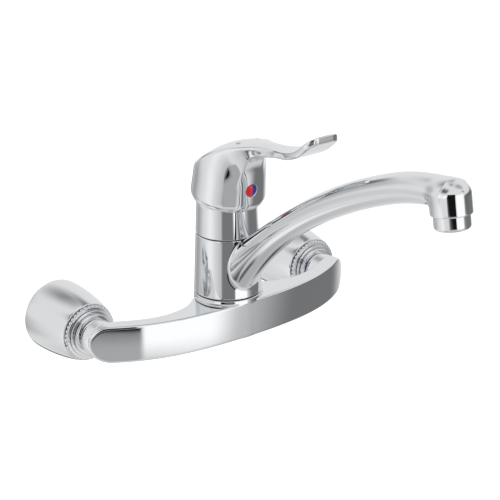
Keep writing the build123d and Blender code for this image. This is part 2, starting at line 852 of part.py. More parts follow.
swing = radians(lift_angle - closed_lean)
slot_half = stem_square / 2 + (pivot_height - carrier_top) * sin(swing) / 2 + 2 * clear
with BuildPart() as rotor:
    with BuildSketch(body_plane):
        with BuildLine():
            Polyline(
                (0, carrier_top + clear),
                (housing_bore - clear, carrier_top + clear),
                (housing_bore - clear, housing_roof - running),
                (rotor_neck_radius, housing_roof - running),
                (rotor_neck_radius, rotor_top),
                (0, rotor_top),
                close=True,
            )
        make_face()
    revolve(axis=body_axis)
    with BuildSketch(body_level(carrier_top)):
        Rectangle(stem_square + 2 * clear, 2 * slot_half)
    extrude(amount=rotor_top - carrier_top, mode=Mode.SUBTRACT)
    with BuildSketch(Plane(origin=(-rotor_neck_radius, body_y, pivot_height), z_dir=(1, 0, 0))):
        Circle(pin_radius)
    extrude(amount=2 * rotor_neck_radius, mode=Mode.SUBTRACT)
keep(rotor, "rotor")

pin_half_length = rotor_neck_radius - 3 * running
with BuildPart() as stem_pin:
    with BuildSketch(Plane(origin=(-pin_half_length, body_y, pivot_height), z_dir=(1, 0, 0))):
        Circle(pin_radius)
    extrude(amount=2 * pin_half_length)
keep(stem_pin, "stem_pin")

with BuildPart() as lever_stem:
    with BuildSketch(side_plane(closed_lean, -stem_square / 2)):
        with Locations((0, (stem_top - stem_foot_radius) / 2)):
            Rectangle(stem_square, stem_top + stem_foot_radius)
        with Locations((0, -(stem_reach_down + stem_foot_radius) / 2)):
            Rectangle(stem_blade, stem_reach_down - stem_foot_radius)
        with Locations((0, -stem_reach_down)):
            Circle(stem_foot_radius)
        Circle(pin_radius + running, mode=Mode.SUBTRACT)
    extrude(amount=stem_square)
    chamfer(lever_stem.faces().sort_by(Axis.Z)[-1].edges(), length=stem_chamfer)
keep(lever_stem, "lever_stem")

# Slotted nut that holds the cartridge in the post's cup
with BuildPart() as cartridge_nut:
    with BuildSketch(body_level(housing_shoulder)):
        Circle(cup_radius - loose)
        Circle(housing_neck_radius + loose, mode=Mode.SUBTRACT)
    extrude(amount=post_top - housing_shoulder)
    with BuildSketch(body_level(post_top - spanner_slot_depth)):
        with PolarLocations(cup_radius, spanner_slots):
            Rectangle(spanner_slot_length, spanner_slot_width)
    extrude(amount=spanner_slot_depth, mode=Mode.SUBTRACT)
keep(cartridge_nut, "cartridge_nut")


# Lever handle: a leaning hub and a flat blade under one long crowned roof
def lever_plane(offset):
    """Upright plane across the lever at an offset from the body axis, X as the row's, Y up."""
    return Plane(origin=(0, body_y - offset, 0), x_dir=(1, 0, 0), z_dir=(0, -1, 0))


with BuildPart() as lever_roof:
    for offset, rise, bend, half_width in roof_form:
        apex = pivot_height + rise
        fall = bend - sqrt(bend**2 - half_width**2)
        with BuildSketch(lever_plane(offset)):
            with BuildLine():
                brow = ThreePointArc((-half_width, apex - fall), (0, apex), (half_width, apex - fall))
                Polyline(brow @ 1, (half_width, 0), (-half_width, 0), brow @ 0)
            make_face()
    loft()

with BuildPart() as lever_blade:
    for offset, half_width, ridge, belly_half_width, belly in blade_form:
        spread = (half_width - belly_half_width) / (ridge - belly)
        above = pivot_height + ridge + blade_over
        edge = half_width + blade_over * spread
        with BuildSketch(lever_plane(offset)):
            with BuildLine():
                Polyline(
                    (-belly_half_width, pivot_height + belly),
                    (belly_half_width, pivot_height + belly),
                    (edge, above),
                    (-edge, above),
                    close=True,
                )
            make_face()
    loft()
    with BuildSketch(body_level(0)):
        with Locations((0, -tip_offset_end / 2)):
            RectangleRounded(2 * tip_half_width, tip_offset_end, tip_corner)
            Rectangle(2 * hub_wide_radius, tip_offset_end - 3 * tip_corner)
    extrude(amount=pivot_height + 2 * roof_form[-1][1], mode=Mode.INTERSECT)

rim_inside = sqrt((dome_radius + rim_clearance) ** 2 - hub_rim_height**2)
cavity_radius = hub_shoulder_radius - hub_wall
button_floor = button_face - button_depth
dimple_ball = pivot_height + dimple_roof + dimple_radius - dimple_depth
lever_front = lean_plane(closed_lean)
with BuildPart() as lever_handle:
    with BuildSketch(lever_front):
        with BuildLine():
            base = Polyline(
                (0, hub_rim_height),
                (hub_rim_radius, hub_rim_height),
                (hub_wide_radius, hub_wide_height),
                (hub_shoulder_radius, hub_shoulder_height),
            )
            shoulder = ThreePointArc(
                base @ 1,
                (hub_cheek_radius, hub_cheek_height),
                (hub_crown_radius, hub_crown_height),
            )
            Polyline(
                shoulder @ 1,
                (hub_crown_radius, 2 * hub_shoulder_height),
                (0, 2 * hub_shoulder_height),
                base @ 0,
            )
        make_face()
    revolve(axis=lean_axis(closed_lean))
    add(lever_blade.part)
    add(lever_roof.part, mode=Mode.INTERSECT)
    with BuildSketch(lever_front):
        with BuildLine():
            Polyline(
                (0, 0),
                (rim_inside, 0),
                (rim_inside, hub_rim_height),
                (cavity_radius, hub_rim_height + hub_wall),
                (cavity_radius, cavity_shoulder),
            )
            ceiling = ThreePointArc(
                (cavity_radius, cavity_shoulder),
                (cavity_haunch_radius, cavity_haunch),
                (socket_radius, cavity_top),
            )
            Polyline(ceiling @ 1, (0, cavity_top), (0, 0))
        make_face()
    revolve(axis=lean_axis(closed_lean), mode=Mode.SUBTRACT)
    with BuildSketch(lean_level(closed_lean, socket_bottom)):
        Circle(socket_radius)
    extrude(amount=cavity_top - socket_bottom + running)
    with BuildSketch(lever_front):
        with Locations((0, grub_height)):
            Circle(grub_boss_radius)
    extrude(amount=button_floor)
    with BuildSketch(lean_level(closed_lean, socket_bottom)):
        Rectangle(stem_square + 2 * running, stem_square + 2 * running)
    extrude(amount=stem_top + loose - socket_bottom, mode=Mode.SUBTRACT)
    with BuildSketch(lever_front):
        with Locations((0, grub_height)):
            Circle(grub_radius + running)
    extrude(amount=button_floor, mode=Mode.SUBTRACT)
    with BuildSketch(lever_front.offset(button_floor)):
        with Locations((0, grub_height)):
            Circle(button_radius + running)
    extrude(amount=2 * button_depth, mode=Mode.SUBTRACT)
    with Locations([(side * dimple_spread, body_y - dimple_offset, dimple_ball) for side in (-1, 1)]):
        Sphere(dimple_radius, mode=Mode.SUBTRACT)
keep(lever_handle, "lever_handle")

# Set screw that clamps the handle to the stem, behind the index button
grub_tip = stem_square / 2 + running
with BuildPart() as handle_set_screw:
    with BuildSketch(lever_front.offset(grub_tip)):
        with Locations((0, grub_height)):
            Circle(grub_radius)
    extrude(amount=grub_length)
    with BuildSketch(lever_front.offset(grub_tip + grub_length - grub_radius)):
        with Locations((0, grub_height)):
            RegularPolygon(radius=grub_radius / 2, side_count=6, major_radius=False)
    extrude(amount=grub_radius, mode=Mode.SUBTRACT)
keep(handle_set_screw, "handle_set_screw")

# Index button: two half discs under one low dome, hot on the left and cold on the right
dome_ball = (button_radius**2 + button_dome**2) / (2 * button_dome)
for name, side in (("hot", -1), ("cold", 1)):
    with BuildPart() as index_button:
        with BuildSketch(lever_front.offset(button_floor)):
            with Locations((0, grub_height)):
                Circle(button_radius)
            with Locations((side * button_radius, grub_height)):
                Rectangle(2 * button_radius, 2 * button_radius, mode=Mode.INTERSECT)
        extrude(amount=button_depth + button_dome)
        with Locations(lever_front.offset(button_face + button_dome - dome_ball)):
            with Locations((0, grub_height, 0)):
                Sphere(dome_ball, mode=Mode.INTERSECT)
    keep(index_button, f"index_button_{name}")
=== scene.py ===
import math

import bpy
import numpy as np
from mathutils import Matrix, Vector


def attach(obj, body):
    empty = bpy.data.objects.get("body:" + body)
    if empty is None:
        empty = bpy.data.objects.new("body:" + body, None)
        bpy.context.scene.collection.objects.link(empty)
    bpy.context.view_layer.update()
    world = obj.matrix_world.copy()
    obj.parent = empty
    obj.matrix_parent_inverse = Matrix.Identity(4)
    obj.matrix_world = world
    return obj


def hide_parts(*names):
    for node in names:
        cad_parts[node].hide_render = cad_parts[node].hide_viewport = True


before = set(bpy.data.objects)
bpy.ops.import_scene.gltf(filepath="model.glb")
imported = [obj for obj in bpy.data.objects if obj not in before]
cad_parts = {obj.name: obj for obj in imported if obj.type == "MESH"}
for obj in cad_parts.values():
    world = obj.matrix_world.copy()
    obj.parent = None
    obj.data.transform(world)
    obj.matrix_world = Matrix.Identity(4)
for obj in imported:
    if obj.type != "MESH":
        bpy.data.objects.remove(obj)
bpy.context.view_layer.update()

# Wall-mounted kitchen faucet. Sizes are millimetres in the part's own frame: the wall is y = 0,
# the faucet stands out towards -Y, +Z is up and the origin is midway between the two inlets.
MM = 0.001

# Body and inlets
stand_off = 72.8
inlet_x = 101.6

# Wall flange and union
flange_wall_radius = 26.1
flange_mouth_radius = 21.3
flange_depth = 43.6
flange_bulge = 1.3
flange_wall = 1.5
nut_back = 35.7
nut_grip_back = 43.7
nut_grip_front = 46.5
nut_shoulder = 48.1
nut_front = 50.8
nut_skirt_radius = 16.4
nut_body_radius = 17.3
nut_lip_radius = 15.2
nut_beads = 40
bead_ring_radius = 19.3
bead_rise = 1.1
bead_half_width = 1.4
thread_radius = 13.3
tail_back = 46.4
tail_front = 48.6
tail_end = 62.5
tail_flange_radius = 12.6
tail_radius = 11.0
tail_bore = 7.0
tail_clearance = 0.1
grip_groove_depth = 1.5
grip_groove_width = 0.5
lip_groove_depth = 1.2
lip_groove_width = 0.6

# Bridge
bar_half_height = 13.6
bar_front_centre = 97.3
bar_bow = 12.2
bar_end_bow = 10.8
bar_crown = 0.2
bar_rear_end = 63.5
bar_rear_limit = 103.0
# Rear line of the bar: distance from the middle, distance from the wall
bar_rear = [(24.7, 64.8), (33.5, 71.5), (43.7, 76.2), (57.9, 78.0), (73.2, 75.2), (85.3, 69.8), (100.4, 63.5)]
stub_radius = 13.0
stub_face = 51.3
stub_end = 69.0
stub_set_back = 3.0
stub_easing = 5.0
hub_base_radius = 24.7
hub_base_top = 16.2
base_inset = 1.2
base_inset_top = 13.0
base_inset_depth = 80
post_radius = 20.4
post_top = 80.5
cup_radius = 17.6
cup_floor = 57.0
groove_radius = 18.15
groove_half_width = 1.6
seal_heights = (22.6, 53.4)

# Spout
sleeve_bottom = 17.0
sleeve_top = 61.0
sleeve_bottom_radius = 24.5
sleeve_top_radius = 22.6
sleeve_bore = 20.8
arm_root = (20.0, 41.6)
arm_slopes = (44.8, 19.6, 2.8)
arm_tip_bend = 173.7
reach = 228.6
# Arm stations: place (0 to 1 along the main arc, 1 to 2 along the tip arc), half width, half height
arm_form = [(0.0, 13.2, 13.9), (0.12, 12.3, 11.7), (0.25, 11.8, 10.25), (0.45, 11.2, 9.45), (0.65, 11.2, 9.85),
            (0.88, 11.4, 9.95), (1.2, 11.6, 10.05), (1.6, 11.7, 9.9), (2.0, 12.0, 9.55)]
nozzle_tilt = math.radians(8.6)
nozzle_height = 12.6
nozzle_crown_radius = 13.3
nozzle_crown_height = 9.2
nozzle_rim_radius = 13.4
aerator_radius = 11.7
aerator_seat = 8.0
aerator_drop = 9.5
aerator_wall = 1.3
aerator_gasket_room = 1.6
aerator_lip = 1.6
aerator_lip_height = 1.4
arm_overrun = 2.0
arm_buried = 10.0
crown_join = 5.0
sleeve_join = 2.6

# Bonnet and lever
pivot_height = 78.5
bonnet_bottom = 61.6
bonnet_shoulder_height = 83.2
bonnet_taper_top = 83.5
bonnet_bore = 20.5
bonnet_skirt_rise = 4.4
dome_radius = 22.2
dome_opening = 17.5
dome_wall = 1.2
lean = math.radians(8.5)
rim_height = 8.0
rim_radius = 24.3
flare_slope = 0.62
flare_cosine = 0.85
rim_easing = 2.2
neck_join = 7.0
roof_easing = 2.6
blade_start = 6.0
blade_easing = 2.4
# Hub and its ceiling: height along the leaning axis, radius
hub_form = [(12.0, 26.7), (24.0, 25.95), (35.0, 25.2), (46.6, 23.3), (57.0, 21.1), (70.0, 16.9)]
ceiling_form = [(22.0, 22.6), (28.8, 17.6), (35.5, 8.6)]
cavity_radius = 22.4
cavity_top = 35.5
socket_radius = 8.6
socket_bottom = 12.0
stem_half = 4.05
stem_top = 26.6
button_height = 24.6
button_radius = 4.5
button_floor = 23.4
button_face = 25.8
button_dome = 1.2
button_clearance = 0.06
button_split = 0.01
button_cast_half = 6.2
button_step = 0.16
# Roof: distance out from the column's axis, height of the ridge, radius of the crown across it
roof_form = [(-34, 96.9, 57), (-20, 109.2, 57), (-8, 119.3, 57), (5, 128.3, 57), (20, 133.8, 57), (35, 136.3, 45),
             (50, 138.2, 26), (62, 139.4, 28), (76, 141.8, 74), (88, 144.8, 119), (93, 147.1, 125),
             (98, 150.6, 130), (103, 154.8, 130), (107, 157.7, 130), (111, 159.7, 130)]
# Blade: distance out, half width and height at the ridge, half width and height at the belly
blade_form = [(12, 19.7, 127.7, 17.4, 100.1), (20, 18.8, 130.4, 14.4, 104.1), (28, 16.6, 132.7, 9.8, 112.0),
              (33, 14.6, 133.8, 8.2, 120.3), (38, 12.4, 134.9, 7.3, 125.5), (44, 10.0, 135.9, 7.0, 128.3),
              (53, 8.6, 136.9, 7.1, 130.5), (62, 8.4, 138.2, 7.4, 132.5), (76, 11.6, 140.8, 10.6, 135.5),
              (88, 14.0, 143.9, 13.0, 138.9), (98, 14.2, 149.8, 13.3, 144.4), (107, 14.2, 156.9, 13.3, 151.7),
              (111, 14.2, 158.9, 13.3, 154.7)]
tip_half_width = 14.2
tip_start = 84
tip_end = 109.4
tip_corner = 8.5
dimple_spread = 8.6
dimple_offset = 25.0
dimple_radius = 3.4
dimple_depth = 0.9

pivot = np.array([0.0, -stand_off, pivot_height])
lean_up = np.array([0.0, -math.sin(lean), math.cos(lean)])
lean_out = np.array([0.0, -math.cos(lean), -math.sin(lean)])
body_foot = np.array([0.0, -stand_off, 0.0])
upright = np.array([0.0, 0.0, 1.0])


# Camera at the photograph's angle

def aim_camera(azimuth, elevation, roll, distance, target, lens):
    """Camera that looks at a target (mm) from an azimuth and elevation, turned about its own line of sight."""
    a, e, t = math.radians(azimuth), math.radians(elevation), math.radians(roll)
    back = Vector((-math.sin(a) * math.cos(e), -math.cos(a) * math.cos(e), math.sin(e)))
    flat_right = (-back).cross(Vector((0, 0, 1))).normalized()
    flat_up = flat_right.cross(-back)
    right = math.cos(t) * flat_right + math.sin(t) * flat_up
    up = math.cos(t) * flat_up - math.sin(t) * flat_right
    data = bpy.data.cameras.new("camera")
    data.sensor_width = 36.0
    data.lens = lens
    data.clip_start = 0.05
    camera = bpy.data.objects.new("camera", data)
    bpy.context.scene.collection.objects.link(camera)
    place = Matrix((right, up, back)).transposed().to_4x4()
    place.translation = (Vector(target) + back * distance) * MM
    camera.matrix_world = place
    bpy.context.scene.camera = camera


# From a fit to the photograph, in which the reach was held at its value above
camera_azimuth, camera_elevation, camera_roll = 37.435, 21.025, -0.622
camera_distance = 1309.042
camera_target = (-0.539, -100.0, 54.404)
camera_lens = 133.86
aim_camera(camera_azimuth, camera_elevation, camera_roll, camera_distance, camera_target, camera_lens)


# Small tools for node trees

def linear(colour):
    """sRGB hex to the linear colour that a socket takes."""
    parts = [int(colour[i:i + 2], 16) / 255 for i in (1, 3, 5)]
    return [p / 12.92 if p <= 0.04045 else ((p + 0.055) / 1.055) ** 2.4 for p in parts] + [1.0]


def add(tree, kind, inputs=None, **settings):
    """Adds a node with its settings; inputs maps a socket's name or number to a value or another socket."""
    node = tree.nodes.new(kind)
    for name, value in settings.items():
        setattr(node, name, value)
    for key, value in (inputs or {}).items():
        if isinstance(value, bpy.types.NodeSocket):
            tree.links.new(value, node.inputs[key])
        else:
            node.inputs[key].default_value = value
    return node


# Smooth forms from a few stations

def smooth_curve(stations, values):
    """Natural cubic through values at stations, carried on straight past both ends. Gives value and slope."""
    at, level = np.array(stations, float), np.array(values, float)
    gap = np.diff(at)
    rise = np.diff(level) / gap
    n = len(at)
    system = np.eye(n)
    turn = np.zeros(n)
    for i in range(1, n - 1):
        system[i, i - 1:i + 2] = gap[i - 1], 2 * (gap[i - 1] + gap[i]), gap[i]
        turn[i] = 6 * (rise[i] - rise[i - 1])
    bend = np.linalg.solve(system, turn)
    first = rise[0] - gap[0] * bend[1] / 6
    last = rise[-1] + gap[-1] * bend[-2] / 6

    def read(where):
        inside = np.clip(where, at[0], at[-1])
        i = np.clip(np.searchsorted(at, inside) - 1, 0, n - 2)
        t = inside - at[i]
        slope = rise[i] - gap[i] * (2 * bend[i] + bend[i + 1]) / 6
        grow = (bend[i + 1] - bend[i]) / gap[i]
        value = level[i] + t * (slope + t * (bend[i] / 2 + t * grow / 6))
        tangent = slope + t * (bend[i] + t * grow / 2)
        past = where - inside
        end_slope = np.where(past > 0, last, first)
        return value + past * end_slope, np.where(past == 0, tangent, end_slope)

    return read


# Cast pieces: a field gives the distance in millimetres from a piece's skin, below zero inside it

def soft_join(a, b, size):
    """Union with a fillet in the inner corner."""
    near = np.maximum(size - np.abs(a - b), 0) / size
    return np.minimum(a, b) - near ** 3 * size / 6


def soft_edge(a, b, size):
    """Overlap of two forms with the edge between them eased."""
    near = np.maximum(size - np.abs(a - b), 0) / size
    return np.maximum(a, b) + near ** 3 * size / 6


def about(points, origin, axis):
    """Distance from an axis and height along it."""
    offset = points - origin
    height = offset @ axis
    return np.sqrt(np.maximum((offset ** 2).sum(-1) - height ** 2, 0)), height


def sample_field(field, low, count, step, block=6):
    """The field on a grid of points. Blocks far from the skin keep the value at their middle."""
    shape = -(-count // block)
    grid = np.empty(shape * block, np.float32)
    blocks = grid.reshape(shape[0], block, shape[1], block, shape[2], block).transpose(0, 2, 4, 1, 3, 5)
    index = np.stack(np.meshgrid(*[np.arange(n) for n in shape], indexing="ij"), -1).reshape(-1, 3)
    value = field(low + (index * block + (block - 1) / 2) * step)
    blocks[...] = value.reshape(*shape, 1, 1, 1)
    inner = np.stack(np.meshgrid(*[np.arange(block)] * 3, indexing="ij"), -1).reshape(-1, 3)
    near = np.flatnonzero(np.abs(value) < step * block * 1.3 + 1.2)
    for part in np.array_split(near, max(1, len(near) // 3000)):
        points = low + (index[part][:, None] * block + inner[None]) * step
        values = field(points.reshape(-1, 3)).reshape(len(part), block, block, block)
        blocks[tuple(index[part].T)] = values
    return grid


def settle(field, points, rounds=3, probe=0.02):
    """Moves points on to the skin along the field's slope, and gives the outward normals there."""
    for turn in range(rounds + 1):
        slope = np.stack([field(points + probe * e) - field(points - probe * e) for e in np.eye(3)], -1)
        slope /= 2 * probe
        size = np.maximum((slope ** 2).sum(-1), 0.05)
        if turn < rounds:
            points = points - slope * np.clip(field(points) / size, -0.5, 0.5)[:, None]
    return points, slope / np.sqrt(size)[:, None]


def cast(name, field, low, high, step, material):
    """Meshes the skin of a field between two corners: one point in each grid cell that the skin crosses."""
    low = np.array(low, float)
    count = np.ceil((np.array(high) - low) / step).astype(int) + 1
    grid = sample_field(field, low, count, step)
    inside = grid < 0
    corners = [np.array(c) for c in np.ndindex(2, 2, 2)]
    size = np.array(inside.shape) - 1
    window = [inside[c[0]:c[0] + size[0], c[1]:c[1] + size[1], c[2]:c[2] + size[2]] for c in corners]
    filled = sum(w.astype(np.uint8) for w in window)
    crossed = (filled > 0) & (filled < 8)
    cells = np.argwhere(crossed)
    number = np.full(crossed.shape, -1)
    number[crossed] = np.arange(len(cells))
    heights = [grid[tuple((cells + c).T)].astype(float) for c in corners]
    total, hits = np.zeros((len(cells), 3)), np.zeros(len(cells))
    for i, a in enumerate(corners):
        for j, b in enumerate(corners):
            if j > i and np.abs(a - b).sum() == 1:
                cut = (heights[i] < 0) != (heights[j] < 0)
                share = np.where(cut, heights[i] / np.where(cut, heights[i] - heights[j], 1), 0)
                total += cut[:, None] * (a + share[:, None] * (b - a))
                hits += cut
    points, normals = settle(field, low + (cells + total / hits[:, None]) * step)
    faces = []
    for axis in range(3):
        u, v = (axis + 1) % 3, (axis + 2) % 3
        start = [slice(None)] * 3
        end = [slice(None)] * 3
        start[axis], end[axis] = slice(None, -1), slice(1, None)
        change = inside[tuple(start)] != inside[tuple(end)]
        edges = np.argwhere(change)
        edges = edges[(edges[:, u] > 0) & (edges[:, v] > 0)]
        step_u, step_v = np.eye(3, dtype=int)[u], np.eye(3, dtype=int)[v]
        ring = [number[tuple((edges - shift).T)] for shift in (step_u + step_v, step_v, 0 * step_u, step_u)]
        quads = np.stack(ring, -1)
        outwards = inside[tuple(edges.T)]
        faces.append(np.where(outwards[:, None], quads, quads[:, ::-1]))
    return make_piece(name, points, np.concatenate(faces), normals, material)


def make_piece(name, points, faces, normals, material):
    """A mesh object from points in mm, with its own normals, at the origin."""
    mesh = bpy.data.meshes.new(name)
    mesh.from_pydata((np.asarray(points) * MM).tolist(), [], np.asarray(faces).tolist())
    mesh.shade_smooth()
    mesh.update()
    mesh.normals_split_custom_set_from_vertices(np.asarray(normals).tolist())
    mesh.materials.append(material)
    piece = bpy.data.objects.new(name, mesh)
    bpy.context.scene.collection.objects.link(piece)
    return piece


# Turned pieces

def eased(corners):
    """Closed profile from (radius, height, easing) corners, each rounded by its easing. Points with normals."""
    corner = np.array([c[:2] for c in corners], float)
    easing = [c[2] for c in corners]
    n = len(corner)
    area = sum(corner[i, 0] * corner[(i + 1) % n, 1] - corner[(i + 1) % n, 0] * corner[i, 1] for i in range(n))
    if area < 0:
        corner, easing = corner[::-1], easing[::-1]
    points, normals = [], []
    for i in range(n):
        before, here, after = corner[i - 1], corner[i], corner[(i + 1) % n]
        come = (here - before) / np.linalg.norm(here - before)
        go = (after - here) / np.linalg.norm(after - here)
        out_before, out_after = np.array([come[1], -come[0]]), np.array([go[1], -go[0]])
        if easing[i] == 0:
            points += [here, here]
            normals += [out_before, out_after]
            continue
        bend = math.atan2(come[0] * go[1] - come[1] * go[0], come @ go)
        radius = easing[i]
        back = radius * math.tan(abs(bend) / 2)
        start = here - come * back
        side = math.copysign(1, bend)
        centre = start - out_before * radius * side
        steps = max(2, math.ceil(abs(bend) / math.radians(9)))
        for k in range(steps + 1):
            angle = bend * k / steps
            turned_out = np.array([out_before[0] * math.cos(angle) - out_before[1] * math.sin(angle),
                                   out_before[0] * math.sin(angle) + out_before[1] * math.cos(angle)])
            points.append(centre + turned_out * radius * side)
            normals.append(turned_out)
    return np.array(points), np.array(normals)


def turned(name, profile, origin, axis, material, around=144):
    """A closed ring turned about an axis from a profile of (radius, height) points with normals."""
    points, normals = profile
    axis = np.array(axis, float)
    side = np.cross(axis, [1.0, 0.0, 0.0] if abs(axis[0]) < 0.5 else [0.0, 0.0, 1.0])
    side /= np.linalg.norm(side)
    third = np.cross(axis, side)
    angle = np.arange(around) * 2 * math.pi / around
    spoke = np.cos(angle)[:, None] * side + np.sin(angle)[:, None] * third
    place = origin + points[None, :, :1] * spoke[:, None] + points[None, :, 1:] * axis
    out = normals[None, :, :1] * spoke[:, None] + normals[None, :, 1:] * axis
    n = len(points)
    i, j = np.meshgrid(np.arange(around), np.arange(n), indexing="ij")
    i2, j2 = (i + 1) % around, (j + 1) % n
    quads = np.stack([i * n + j, i2 * n + j, i2 * n + j2, i * n + j2], -1).reshape(-1, 4)
    flat = np.linalg.norm(points - np.roll(points, -1, 0), axis=1) < 1e-6
    keep = ~np.tile(flat, around)
    return make_piece(name, place.reshape(-1, 3), quads[keep], out.reshape(-1, 3), material)


# Pieces grown by Geometry Nodes

def start_rule(name, sizes):
    """An empty tree that takes a mesh and named sizes. Gives the tree and its inputs."""
    tree = bpy.data.node_groups.new(name, "GeometryNodeTree")
    tree.interface.new_socket(name="Geometry", in_out="INPUT", socket_type="NodeSocketGeometry")
    for size, value in sizes.items():
        kind = "NodeSocketInt" if isinstance(value, int) else "NodeSocketFloat"
        tree.interface.new_socket(name=size, in_out="INPUT", socket_type=kind)
    tree.interface.new_socket(name="Geometry", in_out="OUTPUT", socket_type="NodeSocketGeometry")
    return tree, add(tree, "NodeGroupInput").outputs


def end_rule(tree, geometry, material):
    """Closes a tree: instances made real, then the material."""
    real = add(tree, "GeometryNodeRealizeInstances", {"Geometry": geometry})
    dressed = add(tree, "GeometryNodeSetMaterial", {"Geometry": real.outputs["Geometry"], "Material": material})
    add(tree, "NodeGroupOutput", {0: dressed.outputs["Geometry"]})


def grow(piece, tree, sizes):
    """Runs the tree on a piece with its sizes and keeps the result as the piece's plain mesh."""
    modifier = piece.modifiers.new("rule", "NODES")
    modifier.node_group = tree
    for socket in tree.interface.items_tree:
        if socket.in_out == "INPUT" and socket.name in sizes:
            modifier[socket.identifier] = sizes[socket.name]
    graph = bpy.context.evaluated_depsgraph_get()
    mesh = bpy.data.meshes.new_from_object(piece.evaluated_get(graph), depsgraph=graph)
    piece.modifiers.clear()
    piece.data = mesh
    mesh.name = piece.name


# Materials

def finish(name, colour, metallic, roughness, speck_mm, rough_spread, relief_mm=0.0, tone=None, coat=0.0):
    """A finish on Object coordinates: patches of tone and roughness, and a fine relief, at a size in mm."""
    material = bpy.data.materials.new(name)
    material.use_nodes = True
    tree = material.node_tree
    tree.nodes.clear()
    out = add(tree, "ShaderNodeOutputMaterial")
    shader = add(tree, "ShaderNodeBsdfPrincipled", {"Base Color": linear(colour), "Metallic": metallic,
                                                    "Roughness": roughness, "Coat Weight": coat})
    tree.links.new(shader.outputs["BSDF"], out.inputs["Surface"])
    where = add(tree, "ShaderNodeTexCoord")
    speck = add(tree, "ShaderNodeTexNoise", {"Vector": where.outputs["Object"], "Scale": 1 / (speck_mm * MM),
                                             "Detail": 3.0, "Roughness": 0.55})
    spread = add(tree, "ShaderNodeMapRange", {"Value": speck.outputs["Fac"], "From Min": 0.3, "From Max": 0.7,
                                              "To Min": roughness - rough_spread,
                                              "To Max": roughness + rough_spread})
    tree.links.new(spread.outputs["Result"], shader.inputs["Roughness"])
    if tone:
        ramp = add(tree, "ShaderNodeMix", {"Factor": speck.outputs["Fac"], "A": linear(colour),
                                           "B": linear(tone)}, data_type="RGBA")
        tree.links.new(ramp.outputs["Result"], shader.inputs["Base Color"])
    if relief_mm:
        bump = add(tree, "ShaderNodeBump", {"Height": speck.outputs["Fac"], "Distance": relief_mm * MM,
                                            "Strength": 1.0})
        tree.links.new(bump.outputs["Normal"], shader.inputs["Normal"])
    return material


# Polished chrome plate over brass: a bright mirror with a faint haze left by the buffing wheel
chrome = finish("polished_chrome_plate", "#E9EBED", 1.0, 0.045, speck_mm=9.0, rough_spread=0.012)
# Machined brass: dull gold with a fine, slightly uneven grain
brass = finish("turned_brass", "#B8954F", 1.0, 0.32, speck_mm=0.8, rough_spread=0.08, relief_mm=0.02,
               tone="#A17F3E")
# Nickel left dull in the acid dip: a dark, warm grey inside the bells
dull_nickel = finish("dull_nickel_plate", "#6F6C68", 1.0, 0.36, speck_mm=1.1, rough_spread=0.1,
                     tone="#5D5A56")
# Stainless wire cloth and punched sieve: grey and slightly rough from the punch
sieve = finish("stainless_sieve", "#BDBFC1", 1.0, 0.28, speck_mm=0.5, rough_spread=0.06, tone="#A4A6A8")
# Sintered alumina: off-white and lapped nearly flat
ceramic = finish("lapped_alumina", "#F1EEE6", 0.0, 0.22, speck_mm=0.4, rough_spread=0.06, tone="#E4E0D6")
# Moulded acetal: milky white with a fine moulded grain
acetal = finish("moulded_acetal", "#E6E5DF", 0.0, 0.42, speck_mm=0.35, rough_spread=0.08, relief_mm=0.01,
                tone="#DAD8D0")
# Black aerator moulding: satin, with a fine moulded grain
black_acetal = finish("black_acetal", "#232427", 0.0, 0.38, speck_mm=0.5, rough_spread=0.08, relief_mm=0.01,
                      tone="#303134")
# Glide rings of graphite-filled nylon: the dark line at each seam
glide_nylon = finish("graphite_nylon", "#1B1C1E", 0.0, 0.45, speck_mm=0.4, rough_spread=0.08, tone="#27282B")
# Nitrile rubber: matt black with a powdery bloom
nitrile = finish("nitrile_rubber", "#1C1D1E", 0.0, 0.65, speck_mm=0.3, rough_spread=0.1, relief_mm=0.01,
                 tone="#2A2A2B")
# Pressed aramid fibre: mottled green-grey sheet
fibre = finish("pressed_fibre", "#6E7B6A", 0.0, 0.8, speck_mm=0.7, rough_spread=0.08, relief_mm=0.03,
               tone="#8A9484")
# Glossy moulded ABS halves of the index button
red_abs = finish("red_glossy_abs", "#E8112B", 0.0, 0.16, speck_mm=0.6, rough_spread=0.04,
                 tone="#D90F27", coat=0.3)
blue_abs = finish("blue_glossy_abs", "#1E3F9E", 0.0, 0.16, speck_mm=0.6, rough_spread=0.04,
                  tone="#1A388F", coat=0.3)


# Lever handle: leaning round hub and waisted blade under one long crowned roof
hub_radius = smooth_curve(*zip(*hub_form))
roof_rows = list(zip(*roof_form))
roof_apex = smooth_curve(roof_rows[0], roof_rows[1])
roof_bend = smooth_curve(roof_rows[0], [1 / r for r in roof_rows[2]])
blade_rows = list(zip(*blade_form))
blade_width, blade_ridge, belly_width, belly_height = [smooth_curve(blade_rows[0], row) for row in blade_rows[1:]]
ceiling = smooth_curve(*zip(*ceiling_form))


def roof_top(s, x):
    """Height of the handle's crowned roof, and its steepness."""
    apex, climb = roof_apex(s)
    bend = np.maximum(roof_bend(s)[0], 0.004)
    lean_in = np.minimum((bend * x) ** 2, 0.85)
    fall = bend * x ** 2 / (1 + np.sqrt(1 - lean_in))
    return apex - fall, np.sqrt(1 + climb ** 2 + lean_in / (1 - lean_in))


dimple_centres = []
for side in (-1, 1):
    top = roof_top(np.array([dimple_offset]), np.array([side * dimple_spread]))[0]
    centre_z = float(top[0]) + dimple_radius - dimple_depth
    dimple_centres.append(np.array([side * dimple_spread, -stand_off - dimple_offset, centre_z]))


